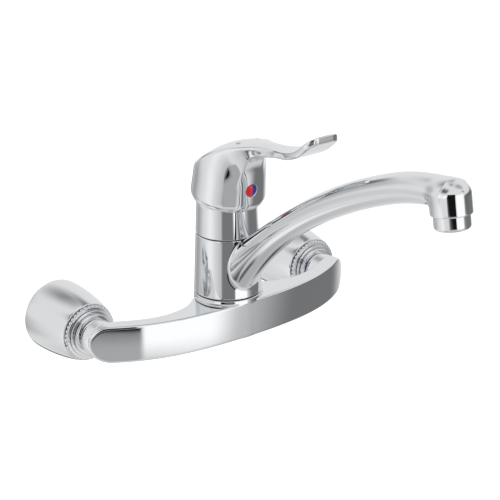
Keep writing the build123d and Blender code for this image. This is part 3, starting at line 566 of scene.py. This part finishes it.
def handle_field(points):
    x, s, z = np.abs(points[:, 0]), -points[:, 1] - stand_off, points[:, 2]
    r, h = about(points, pivot, lean_up)
    flare = (r - rim_radius - (h - rim_height) * flare_slope) * flare_cosine
    hub = soft_edge(r - hub_radius(h)[0], flare, rim_easing)
    width, ridge = blade_width(s)[0], blade_ridge(s)[0]
    low_width = belly_width(s)[0]
    belly, belly_slope = belly_height(s)
    spread = (width - low_width) / (ridge - belly)
    flank = (x - low_width - (z - belly) * spread) / np.sqrt(1 + spread ** 2)
    under = (belly - z) / np.sqrt(1 + belly_slope ** 2)
    blade = soft_edge(flank, under, blade_easing)
    past_side = x - (tip_half_width - tip_corner) - np.maximum(tip_start - s, 0)
    past = np.stack([past_side, s - tip_end + tip_corner], -1)
    plan = np.minimum(past.max(-1), 0) + np.linalg.norm(np.maximum(past, 0), axis=-1) - tip_corner
    blade = soft_edge(soft_edge(blade, plan, 1.6), blade_start - s, 1.0)
    top, steep = roof_top(s, x)
    body = soft_edge(soft_join(hub, blade, neck_join), (z - top) / steep, roof_easing)
    body = soft_edge(body, rim_height - h, 1.0)
    for centre in dimple_centres:
        body = soft_edge(body, dimple_radius - np.linalg.norm(points - centre, axis=-1), 0.7)
    room = np.where(h < ceiling_form[0][0], np.maximum(r - cavity_radius, -5.0), r - ceiling(h)[0])
    room = np.maximum(room, h - cavity_top)
    boss = np.maximum(r - socket_radius, socket_bottom - h)
    square = np.maximum(np.maximum(x, np.abs((points - pivot) @ lean_out)) - stem_half, h - stem_top)
    room = np.maximum(room, -boss)
    body = soft_edge(body, -room, 0.5)
    body = np.maximum(body, -square)
    hole_r, hole_h = about(points, pivot + lean_up * button_height, lean_out)
    return soft_edge(body, -np.maximum(hole_r - button_radius - button_clearance, button_floor - hole_h), 0.5)


step = 0.62
handle = cast("lever_handle_casting", handle_field, (-29, -186, 82), (29, -36, 163), step, chrome)

# Spout: tapered swivel sleeve, arched arm and nozzle in one casting
nozzle_down = np.array([0.0, -math.sin(nozzle_tilt), -math.cos(nozzle_tilt)])
root_slope, knee_slope, tip_slope = [math.radians(a) for a in arm_slopes]
tip_offset = reach - nozzle_height * math.sin(nozzle_tilt)
tip_run = arm_tip_bend * (math.sin(knee_slope) - math.sin(tip_slope))
main_bend = (tip_offset - tip_run - arm_root[0]) / (math.sin(root_slope) - math.sin(knee_slope))
main_centre = np.array(arm_root) + main_bend * np.array([math.sin(root_slope), -math.cos(root_slope)])
knee_out = np.array([-math.sin(knee_slope), math.cos(knee_slope)])
tip_centre = main_centre + (main_bend - arm_tip_bend) * knee_out
tip_height = tip_centre[1] + arm_tip_bend * math.cos(tip_slope)
main_length = main_bend * (root_slope - knee_slope)
tip_length = arm_tip_bend * (knee_slope - tip_slope)
arm_runs = [share * main_length if share <= 1 else main_length + (share - 1) * tip_length
            for share, a, b in arm_form]
arm_half_width = smooth_curve(arm_runs, [a for share, a, b in arm_form])
arm_half_height = smooth_curve(arm_runs, [b for share, a, b in arm_form])
nozzle_crown = np.array([0.0, -stand_off - tip_offset, tip_height])


def sleeve_radius(z):
    return sleeve_bottom_radius + (z - sleeve_bottom) / (sleeve_top - sleeve_bottom) * (
        sleeve_top_radius - sleeve_bottom_radius)


def arm_field(points):
    """Elliptical section carried along two tangent arcs."""
    flat = np.stack([-points[:, 1] - stand_off, points[:, 2]], -1)
    main, tip = flat - main_centre, flat - tip_centre
    main_slope = np.arctan2(-main[:, 0], main[:, 1])
    tip_angle = np.arctan2(-tip[:, 0], tip[:, 1])
    early = main_slope >= knee_slope
    tip_part = main_length + arm_tip_bend * (knee_slope - tip_angle)
    run = np.where(early, main_bend * (root_slope - main_slope), tip_part)
    rise = np.where(early, np.linalg.norm(main, axis=-1) - main_bend, np.linalg.norm(tip, axis=-1) - arm_tip_bend)
    sunk = -arm_buried - run
    run = np.clip(run, -12.0, main_length + tip_length + 6.0)
    a, b = arm_half_width(run)[0], arm_half_height(run)[0]
    share = np.sqrt((points[:, 0] / a) ** 2 + (rise / b) ** 2) + 1e-9
    pull = np.sqrt((points[:, 0] / a ** 2) ** 2 + (rise / b ** 2) ** 2) + 1e-9
    return np.maximum((share - 1) * share / pull, sunk)


def spout_field(points):
    s, z = -points[:, 1] - stand_off, points[:, 2]
    r = about(points, body_foot, upright)[0]
    middle = (sleeve_top + sleeve_bottom) / 2
    sleeve = soft_edge(r - sleeve_radius(z), np.abs(z - middle) - (sleeve_top - sleeve_bottom) / 2, 0.9)
    arm = np.maximum(arm_field(points), s - tip_offset - arm_overrun)
    nozzle_r, down = about(points, nozzle_crown, nozzle_down)
    barrel = nozzle_r - nozzle_crown_radius - (nozzle_rim_radius - nozzle_crown_radius) * down / nozzle_height
    share = np.hypot(nozzle_r / nozzle_crown_radius, down / nozzle_crown_height) + 1e-9
    pull = np.hypot(nozzle_r / nozzle_crown_radius ** 2, down / nozzle_crown_height ** 2) + 1e-9
    nozzle = soft_edge(np.where(down < 0, (share - 1) * share / pull, barrel), down - nozzle_height, 1.6)
    nozzle = soft_join(arm, nozzle, crown_join)
    mouth = np.maximum(nozzle_r - aerator_radius - 0.1, nozzle_height - aerator_seat - down)
    nozzle = soft_edge(nozzle, -mouth, 0.5)
    body = soft_join(sleeve, nozzle, sleeve_join)
    body = soft_edge(body, -np.maximum(r - sleeve_top_radius - 0.3, sleeve_top - z), 0.6)
    return soft_edge(body, sleeve_bore - r, 0.5)


step = 0.72
spout = cast("spout_casting", spout_field, (-27, -317, 15), (27, -46, 166), step, chrome)

# Bridge: bowed bar, inlet stubs, round base and valve post in one casting
rear_line = smooth_curve([0.0, 12.0] + [x for x, d in bar_rear] + [106.0, 112.0],
                         [bar_rear[0][1]] * 2 + [d for x, d in bar_rear] + [bar_rear_end] * 2)


def bridge_field(points):
    x, depth, z = np.abs(points[:, 0]), -points[:, 1], points[:, 2]
    share = x / inlet_x
    front = bar_front_centre - bar_bow * share ** 2 - bar_end_bow * share ** 4
    front = front - bar_crown * (z / bar_half_height) ** 2
    front_slope = (2 * bar_bow * share + 4 * bar_end_bow * share ** 3) / inlet_x
    face = (depth - front) / np.sqrt(1 + front_slope ** 2)
    rear, rear_slope = rear_line(np.minimum(x, bar_rear_limit))
    back = (rear - depth) / np.sqrt(1 + rear_slope ** 2)
    outline = np.sqrt(np.maximum(x - inlet_x, 0) ** 2 + z ** 2) - bar_half_height
    bar = soft_edge(soft_edge(face, outline, 2.4), back, 1.6)
    r = about(points, body_foot, upright)[0]
    middle = (hub_base_top - bar_half_height) / 2
    # Below the bar's top edge the base is drawn in at the front, so that it stays behind the bar's face
    inset = np.clip(base_inset_top - z, 0, base_inset) * (depth > base_inset_depth)
    base = soft_edge(r - hub_base_radius + inset, np.abs(z - middle) - (hub_base_top + bar_half_height) / 2, 1.4)
    body = soft_join(bar, base, 1.6)
    stub_r = np.sqrt((x - inlet_x) ** 2 + z ** 2)
    stub_ends = np.maximum(stub_face - depth, np.maximum(depth - stub_end, face + stub_set_back))
    stub = soft_edge(stub_r - stub_radius, stub_ends, stub_easing)
    body = soft_join(body, stub, 1.2)
    body = np.maximum(body, -np.maximum(stub_r - tail_radius - tail_clearance, depth - tail_end))
    post = np.maximum(r - post_radius, np.abs(z - post_top / 2) - post_top / 2)
    for height in seal_heights:
        post = np.maximum(post, -np.maximum(groove_radius - r, np.abs(z - height) - groove_half_width))
    body = np.minimum(body, post)
    return np.maximum(body, -np.maximum(r - cup_radius, cup_floor - z))


step = 0.74
bridge = cast("bridge_casting", bridge_field, (-118, -100, -16), (118, -45, 84), step, chrome)

# Bonnet sleeve: the column's taper carried on to a low dome
shoulder = sleeve_radius(bonnet_taper_top)
rise_in = math.sqrt((dome_radius - dome_wall) ** 2 - dome_opening ** 2)
bonnet_corners = [(bonnet_bore, bonnet_bottom, 0.2), (sleeve_radius(bonnet_bottom), bonnet_bottom, 0.45),
                  (shoulder, bonnet_shoulder_height, 0.8)]
bonnet_corners += [(dome_radius * math.cos(t), pivot_height + dome_radius * math.sin(t), 0)
                   for t in np.linspace(math.acos(shoulder / dome_radius) + 0.06,
                                        math.acos(dome_opening / dome_radius), 12)]
bonnet_corners += [(dome_opening, pivot_height + rise_in, 0.2), (bonnet_bore, pivot_height + bonnet_skirt_rise, 0)]
bonnet = turned("bonnet_sleeve_turning", eased(bonnet_corners), body_foot, upright, chrome)

# Aerator shell: thin cup with a rounded foot
foot = -nozzle_height - aerator_drop
shell_top = -nozzle_height + aerator_seat - aerator_gasket_room
bore = aerator_radius - aerator_wall
aerator_corners = [(bore, shell_top, 0.2), (aerator_radius, shell_top, 0.2), (aerator_radius, foot, 2.6),
                   (bore - aerator_lip, foot, 0.3), (bore - aerator_lip, foot + aerator_lip_height, 0.2),
                   (bore, foot + aerator_lip_height, 0)]
aerator = turned("aerator_shell_turning", eased(aerator_corners), nozzle_crown, -nozzle_down, chrome)

# Bell flange by rule: a grid is rolled round the inlet's axis, and its other way round a thin closed section
flange_sizes = {"Inlet X": inlet_x * MM, "Wall Radius": flange_wall_radius * MM,
                "Mouth Radius": flange_mouth_radius * MM, "Depth": flange_depth * MM, "Bulge": flange_bulge * MM,
                "Sheet": flange_wall * MM, "Around": 145, "Section": 81}


def flange_rule():
    tree, size = start_rule("bell_flange_rule", flange_sizes)

    def number(operation, *values):
        return add(tree, "ShaderNodeMath", dict(enumerate(values)), operation=operation).outputs[0]

    grid = add(tree, "GeometryNodeMeshGrid", {"Size X": 1.0, "Size Y": 1.0, "Vertices X": size["Around"],
                                              "Vertices Y": size["Section"]})
    place = add(tree, "GeometryNodeInputPosition")
    axes = add(tree, "ShaderNodeSeparateXYZ", {0: place.outputs[0]})
    turn = number("MULTIPLY", axes.outputs["X"], 2 * math.pi)
    section = number("MULTIPLY", axes.outputs["Y"], 2 * math.pi)
    swing = number("SINE", section)
    along = number("MULTIPLY_ADD", number("COSINE", section), 0.5, 0.5)
    half_sheet = number("MULTIPLY", size["Sheet"], 0.5)
    skin = number("MULTIPLY", number("SIGN", swing), number("POWER", number("ABSOLUTE", swing), 0.25))
    middle = number("SUBTRACT", size["Wall Radius"], half_sheet)
    taper = number("MULTIPLY_ADD", number("SUBTRACT", size["Mouth Radius"], size["Wall Radius"]), along, middle)
    belly = number("MULTIPLY_ADD", number("MULTIPLY", swing, swing), size["Bulge"], taper)
    radius = number("MULTIPLY_ADD", skin, half_sheet, belly)
    x = number("MULTIPLY_ADD", radius, number("COSINE", turn), size["Inlet X"])
    y = number("MULTIPLY", number("MULTIPLY", along, size["Depth"]), -1.0)
    z = number("MULTIPLY", radius, number("SINE", turn))
    point = add(tree, "ShaderNodeCombineXYZ", {"X": x, "Y": y, "Z": z})
    rolled = add(tree, "GeometryNodeSetPosition", {"Geometry": grid.outputs["Mesh"], "Position": point.outputs[0]})
    closed = add(tree, "GeometryNodeMergeByDistance", {"Geometry": rolled.outputs[0], "Distance": 0.002 * MM})
    smooth = add(tree, "GeometryNodeSetShadeSmooth", {"Geometry": closed.outputs[0], "Shade Smooth": True})
    end_rule(tree, smooth.outputs[0], chrome)
    return tree


# Grip of the union nut by rule: small beads set round the nut
bead_sizes = {"Inlet X": inlet_x * MM, "Beads": nut_beads, "Ring Radius": bead_ring_radius * MM,
              "Ring Depth": (nut_grip_back + nut_grip_front) / 2 * MM, "Bead Rise": bead_rise * MM,
              "Bead Half Width": bead_half_width * MM,
              "Bead Half Length": (nut_grip_front - nut_grip_back) / 2 * MM}


def bead_rule():
    tree, size = start_rule("nut_bead_rule", bead_sizes)
    ball = add(tree, "GeometryNodeMeshUVSphere", {"Segments": 10, "Rings": 6, "Radius": 1.0})
    smooth = add(tree, "GeometryNodeSetShadeSmooth", {"Geometry": ball.outputs["Mesh"], "Shade Smooth": True})
    ring = add(tree, "GeometryNodeMeshCircle", {"Vertices": size["Beads"], "Radius": size["Ring Radius"]})
    index = add(tree, "GeometryNodeInputIndex")
    turn = add(tree, "ShaderNodeMath", {0: index.outputs[0], 1: 2 * math.pi}, operation="MULTIPLY")
    share = add(tree, "ShaderNodeMath", {0: turn.outputs[0], 1: size["Beads"]}, operation="DIVIDE")
    facing = add(tree, "ShaderNodeCombineXYZ", {"Z": share.outputs[0]})
    bead = add(tree, "ShaderNodeCombineXYZ", {"X": size["Bead Rise"], "Y": size["Bead Half Width"],
                                              "Z": size["Bead Half Length"]})
    beads = add(tree, "GeometryNodeInstanceOnPoints", {"Points": ring.outputs["Mesh"],
                                                       "Instance": smooth.outputs[0],
                                                       "Rotation": facing.outputs[0], "Scale": bead.outputs[0]})
    out = add(tree, "ShaderNodeMath", {0: size["Ring Depth"], 1: -1.0}, operation="MULTIPLY")
    seat = add(tree, "ShaderNodeCombineXYZ", {"X": size["Inlet X"], "Y": out.outputs[0]})
    seated = add(tree, "GeometryNodeTransform", {"Geometry": beads.outputs[0], "Translation": seat.outputs[0],
                                                 "Rotation": (math.pi / 2, 0.0, 0.0)})
    joined = add(tree, "GeometryNodeJoinGeometry", {"Geometry": seated.outputs[0]})
    tree.links.new(size["Geometry"], joined.inputs["Geometry"])
    end_rule(tree, joined.outputs[0], chrome)
    return tree


flange_tree = flange_rule()
bead_tree = bead_rule()

# Inlets: flange, nut with a narrow groove on each side of its body, and tailpiece
grip_groove_floor, grip_groove_end = nut_body_radius - grip_groove_depth, nut_grip_front + grip_groove_width
lip_groove_floor, lip_groove_end = nut_lip_radius - lip_groove_depth, nut_shoulder + lip_groove_width
inlet_pieces = []
for hand, side in (("left", -1), ("right", 1)):
    wall_point = np.array([side * inlet_x, 0.0, 0.0])
    outwards = np.array([0.0, -1.0, 0.0])
    flange = bpy.data.objects.new(f"{hand}_bell_flange", bpy.data.meshes.new(f"{hand}_bell_flange"))
    bpy.context.scene.collection.objects.link(flange)
    grow(flange, flange_tree, {**flange_sizes, "Inlet X": side * inlet_x * MM})
    nut_corners = [(thread_radius, nut_back, 0.3), (nut_skirt_radius, nut_back, 0.4),
                   (nut_skirt_radius, nut_grip_back, 0.2), (bead_ring_radius, nut_grip_back, 0.3),
                   (bead_ring_radius, nut_grip_front, 0.3), (grip_groove_floor, nut_grip_front, 0.2),
                   (grip_groove_floor, grip_groove_end, 0.2), (nut_body_radius, grip_groove_end, 0.3),
                   (nut_body_radius, nut_shoulder, 0.6), (lip_groove_floor, nut_shoulder, 0.2),
                   (lip_groove_floor, lip_groove_end, 0.2), (nut_lip_radius, lip_groove_end, 0.3),
                   (nut_lip_radius, nut_front, 0.8), (tail_radius + tail_clearance, nut_front, 0.3),
                   (tail_radius + tail_clearance, tail_front, 0.1), (thread_radius, tail_front, 0.2)]
    nut = turned(f"{hand}_union_nut_turning", eased(nut_corners), wall_point, outwards, chrome)
    grow(nut, bead_tree, {**bead_sizes, "Inlet X": side * inlet_x * MM})
    tail_corners = [(tail_bore, tail_back, 0.3), (tail_flange_radius, tail_back, 0.4),
                    (tail_flange_radius, tail_front, 0.2), (tail_radius, tail_front, 0.2),
                    (tail_radius, tail_end, 0.3), (tail_bore, tail_end, 0.3)]
    tail = turned(f"{hand}_tailpiece_turning", eased(tail_corners), wall_point, outwards, chrome)
    inlet_pieces += [(flange, f"{hand}_wall_flange"), (nut, f"{hand}_union_nut"), (tail, f"{hand}_tailpiece")]


# Index button: two half discs under one low dome
def button_half(name, side, material):
    centre = pivot + lean_up * button_height
    ball = (button_radius ** 2 + button_dome ** 2) / (2 * button_dome)
    ball_centre = centre + lean_out * (button_face + button_dome - ball)

    def field(points):
        r, out = about(points, centre, lean_out)
        disc = soft_edge(r - button_radius, np.linalg.norm(points - ball_centre, axis=-1) - ball, 0.5)
        return np.maximum(np.maximum(disc, button_floor - out), button_split - side * points[:, 0])

    middle = centre + lean_out * button_face
    return cast(name, field, middle - button_cast_half, middle + button_cast_half, button_step, material)


button_hot = button_half("index_button_red_half", -1, red_abs)
button_cold = button_half("index_button_blue_half", 1, blue_abs)

# What each piece stands for, and the body it rides on
rides = [(handle, "lever", "lever_handle", "polished_chrome"), (spout, "spout", "spout", "polished_chrome"),
         (bridge, "root", "bridge_body", "polished_chrome"), (bonnet, "root", "bonnet_sleeve", "polished_chrome"),
         (aerator, "spout", "aerator_shell", "polished_chrome"),
         (button_hot, "lever", "index_button_hot", "index_red"),
         (button_cold, "lever", "index_button_cold", "index_blue")]
rides += [(piece, "root", node, "polished_chrome") for piece, node in inlet_pieces]
for piece, body, node, slot in rides:
    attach(piece, body)
    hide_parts(node)

carried = {
    brass: ["cartridge_nut", "lever_stem"],
    dull_nickel: ["left_supply_coupling", "right_supply_coupling"],
    sieve: ["left_inlet_strainer", "right_inlet_strainer", "aerator_screen", "stem_pin", "handle_set_screw"],
    ceramic: ["fixed_disc", "moving_disc"],
    acetal: ["cartridge_housing", "cartridge_base", "rotor", "disc_carrier"],
    black_acetal: ["aerator_spreader"],
    glide_nylon: ["lower_glide_ring", "upper_glide_ring"],
    nitrile: ["lower_spout_seal", "upper_spout_seal", "hot_port_seal", "mixed_port_seal", "cold_port_seal",
              "aerator_gasket"],
    fibre: ["left_union_washer", "right_union_washer"],
}
for material, names in carried.items():
    for name in names:
        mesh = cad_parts[name].data
        mesh.materials.clear()
        mesh.materials.append(material)


# Brightness of the surroundings: what the chrome mirrors below dim_below and above full_above (degrees),
# and the fill that other rays get
dim_below, full_above = -80.0, -35.0
floor_tone, wall_tone = 0.48, 0.84
fill_level = 0.9


# Studio: white floor far below, white surroundings, and darker and lighter screens for the chrome to mirror

def studio_world():
    world = bpy.data.worlds.new("studio")
    bpy.context.scene.world = world
    world.use_nodes = True
    tree = world.node_tree
    tree.nodes.clear()
    where = add(tree, "ShaderNodeTexCoord")
    axes = add(tree, "ShaderNodeSeparateXYZ", {"Vector": where.outputs["Generated"]})
    front = add(tree, "ShaderNodeMath", {0: axes.outputs["Y"], 1: -1.0}, operation="MULTIPLY")
    turn = add(tree, "ShaderNodeMath", {0: axes.outputs["X"], 1: front.outputs[0]}, operation="ARCTAN2")
    azimuth = add(tree, "ShaderNodeMath", {0: turn.outputs[0]}, operation="DEGREES")
    tip = add(tree, "ShaderNodeMath", {0: axes.outputs["Z"]}, operation="ARCSINE")
    elevation = add(tree, "ShaderNodeMath", {0: tip.outputs[0]}, operation="DEGREES")
    shade = add(tree, "ShaderNodeMapRange", {"Value": elevation.outputs[0], "From Min": dim_below,
                                             "From Max": full_above, "To Min": floor_tone, "To Max": wall_tone})
    level = shade.outputs["Result"]
    for screen_azimuth, screen_elevation, wide, tall, side_edge, end_edge, tone in screens:
        across = add(tree, "ShaderNodeMath", {0: azimuth.outputs[0], 1: screen_azimuth}, operation="SUBTRACT")
        wrapped = add(tree, "ShaderNodeMath", {0: across.outputs[0], 1: 180.0, 2: -180.0}, operation="WRAP")
        over = add(tree, "ShaderNodeMath", {0: elevation.outputs[0], 1: screen_elevation}, operation="SUBTRACT")
        cover = 1.0
        for offset, size, edge in ((wrapped, wide, side_edge), (over, tall, end_edge)):
            away = add(tree, "ShaderNodeMath", {0: offset.outputs[0]}, operation="ABSOLUTE")
            fade = add(tree, "ShaderNodeMapRange", {"Value": away.outputs[0], "From Min": size / 2 + edge,
                                                    "From Max": size / 2 - edge}, interpolation_type="SMOOTHSTEP")
            both = add(tree, "ShaderNodeMath", {0: fade.outputs["Result"], 1: cover}, operation="MULTIPLY")
            cover = both.outputs[0]
        mixed = add(tree, "ShaderNodeMix", {"Factor": cover, "A": level, "B": tone})
        level = mixed.outputs["Result"]
    path = add(tree, "ShaderNodeLightPath")
    mirror = add(tree, "ShaderNodeMix", {"Factor": path.outputs["Is Glossy Ray"], "A": fill_level, "B": level})
    seen = add(tree, "ShaderNodeMath", {0: path.outputs["Is Camera Ray"], 1: path.outputs["Is Transmission Ray"]},
               operation="MAXIMUM")
    strength = add(tree, "ShaderNodeMix", {"Factor": seen.outputs[0], "A": mirror.outputs["Result"], "B": 1.0})
    back = add(tree, "ShaderNodeBackground", {"Color": (1, 1, 1, 1), "Strength": strength.outputs["Result"]})
    add(tree, "ShaderNodeOutputWorld", {"Surface": back.outputs["Background"]})


# Screens round the set: azimuth (0 in front, 90 on the right), elevation, width, height, side edge, end edge,
# brightness. Later ones stand in front of earlier ones. They were set to bring the reflections near
# the photograph's.
screens = [
    (85.0, 60.0, 60.0, 24.0, 15.0, 10.0, 0.45),
    (43.0, 36.0, 14.0, 14.0, 6.0, 6.0, 0.35),
    (138.0, 56.0, 20.0, 30.0, 8.0, 10.0, 0.25),
    (74.0, -18.0, 72.0, 54.0, 17.0, 8.0, 0.2),
    (66.0, -4.0, 64.0, 6.0, 6.0, 3.0, 0.08),
    (170.0, 50.0, 50.0, 22.0, 22.0, 14.0, 0.3),
    (-168.0, 9.0, 28.0, 28.0, 12.0, 12.0, 0.5),
    (179.0, 11.0, 16.0, 18.0, 6.0, 7.0, 0.02),
    (-168.0, -20.0, 44.0, 26.0, 24.0, 8.0, 0.4),
    (157.0, -27.0, 14.0, 30.0, 5.0, 6.0, 0.12),
    (-135.0, -58.0, 26.0, 18.0, 8.0, 6.0, 1.0),
    (118.0, -57.0, 26.0, 16.0, 8.0, 8.0, 0.05),
    (-103.0, -68.0, 30.0, 12.0, 8.0, 5.0, 0.12),
    (-98.0, 57.0, 52.0, 32.0, 14.0, 13.0, 0.15),
    (-102.0, -24.0, 24.0, 40.0, 12.0, 12.0, 1.0),
    (-34.0, -20.0, 66.0, 22.0, 28.0, 8.0, 0.46),
    (8.0, -2.0, 44.0, 48.0, 5.0, 3.0, 1.2),
    (-72.0, 8.0, 20.0, 30.0, 4.0, 8.0, 1.1),
    (-36.0, -30.0, 45.0, 18.0, 3.0, 2.0, 0.45),
    (-36.0, -19.5, 45.0, 5.0, 1.5, 3.0, 0.12),
    (-35.0, -14.0, 41.0, 12.0, 4.0, 2.0, 0.21),
    (-39.0, 12.0, 44.0, 42.0, 2.0, 2.0, 0.008),
    (-34.0, -19.9, 40.0, 2.8, 1.0, 0.4, 0.004),
]
studio_world()


def floor_finish():
    """White painted floor that keeps the object's shadow and reads as white where it is seen."""
    material = bpy.data.materials.new("white_painted_floor")
    material.use_nodes = True
    tree = material.node_tree
    tree.nodes.clear()
    path = add(tree, "ShaderNodeLightPath")
    seen = add(tree, "ShaderNodeMath", {0: path.outputs["Is Camera Ray"], 1: path.outputs["Is Transmission Ray"]},
               operation="MAXIMUM")
    lift = add(tree, "ShaderNodeMath", {0: seen.outputs[0], 1: 0.5}, operation="MULTIPLY")
    glow = add(tree, "ShaderNodeEmission", {"Color": (1, 1, 1, 1), "Strength": lift.outputs[0]})
    paint = add(tree, "ShaderNodeBsdfDiffuse", {"Color": linear("#CFCFCF")})
    both = add(tree, "ShaderNodeAddShader", {0: glow.outputs[0], 1: paint.outputs[0]})
    add(tree, "ShaderNodeOutputMaterial", {"Surface": both.outputs[0]})
    return material


floor_mesh = bpy.data.meshes.new("floor")
half, drop = 9.0, -0.45
floor_mesh.from_pydata([(-half, -half, drop), (half, -half, drop), (half, half, drop), (-half, half, drop)], [],
                       [(0, 1, 2, 3)])
floor_mesh.materials.append(floor_finish())
floor = bpy.data.objects.new("floor", floor_mesh)
bpy.context.scene.collection.objects.link(floor)
floor.visible_glossy = False


def soft_light(name, place, target, size, power):
    data = bpy.data.lights.new(name, "AREA")
    data.shape = "RECTANGLE"
    data.size, data.size_y = size
    data.energy = power
    lamp = bpy.data.objects.new(name, data)
    bpy.context.scene.collection.objects.link(lamp)
    lamp.location = place
    lamp.rotation_euler = (Vector(target) - Vector(place)).to_track_quat("-Z", "Y").to_euler()
    lamp.visible_glossy = False


# Overhead softbox: place, target and size in metres, power in watts
soft_light("overhead_softbox", (0.2, -0.6, 1.6), (0, -0.1, 0.05), (1.6, 1.0), 18.0)

bpy.context.scene.view_settings.view_transform = "Standard"
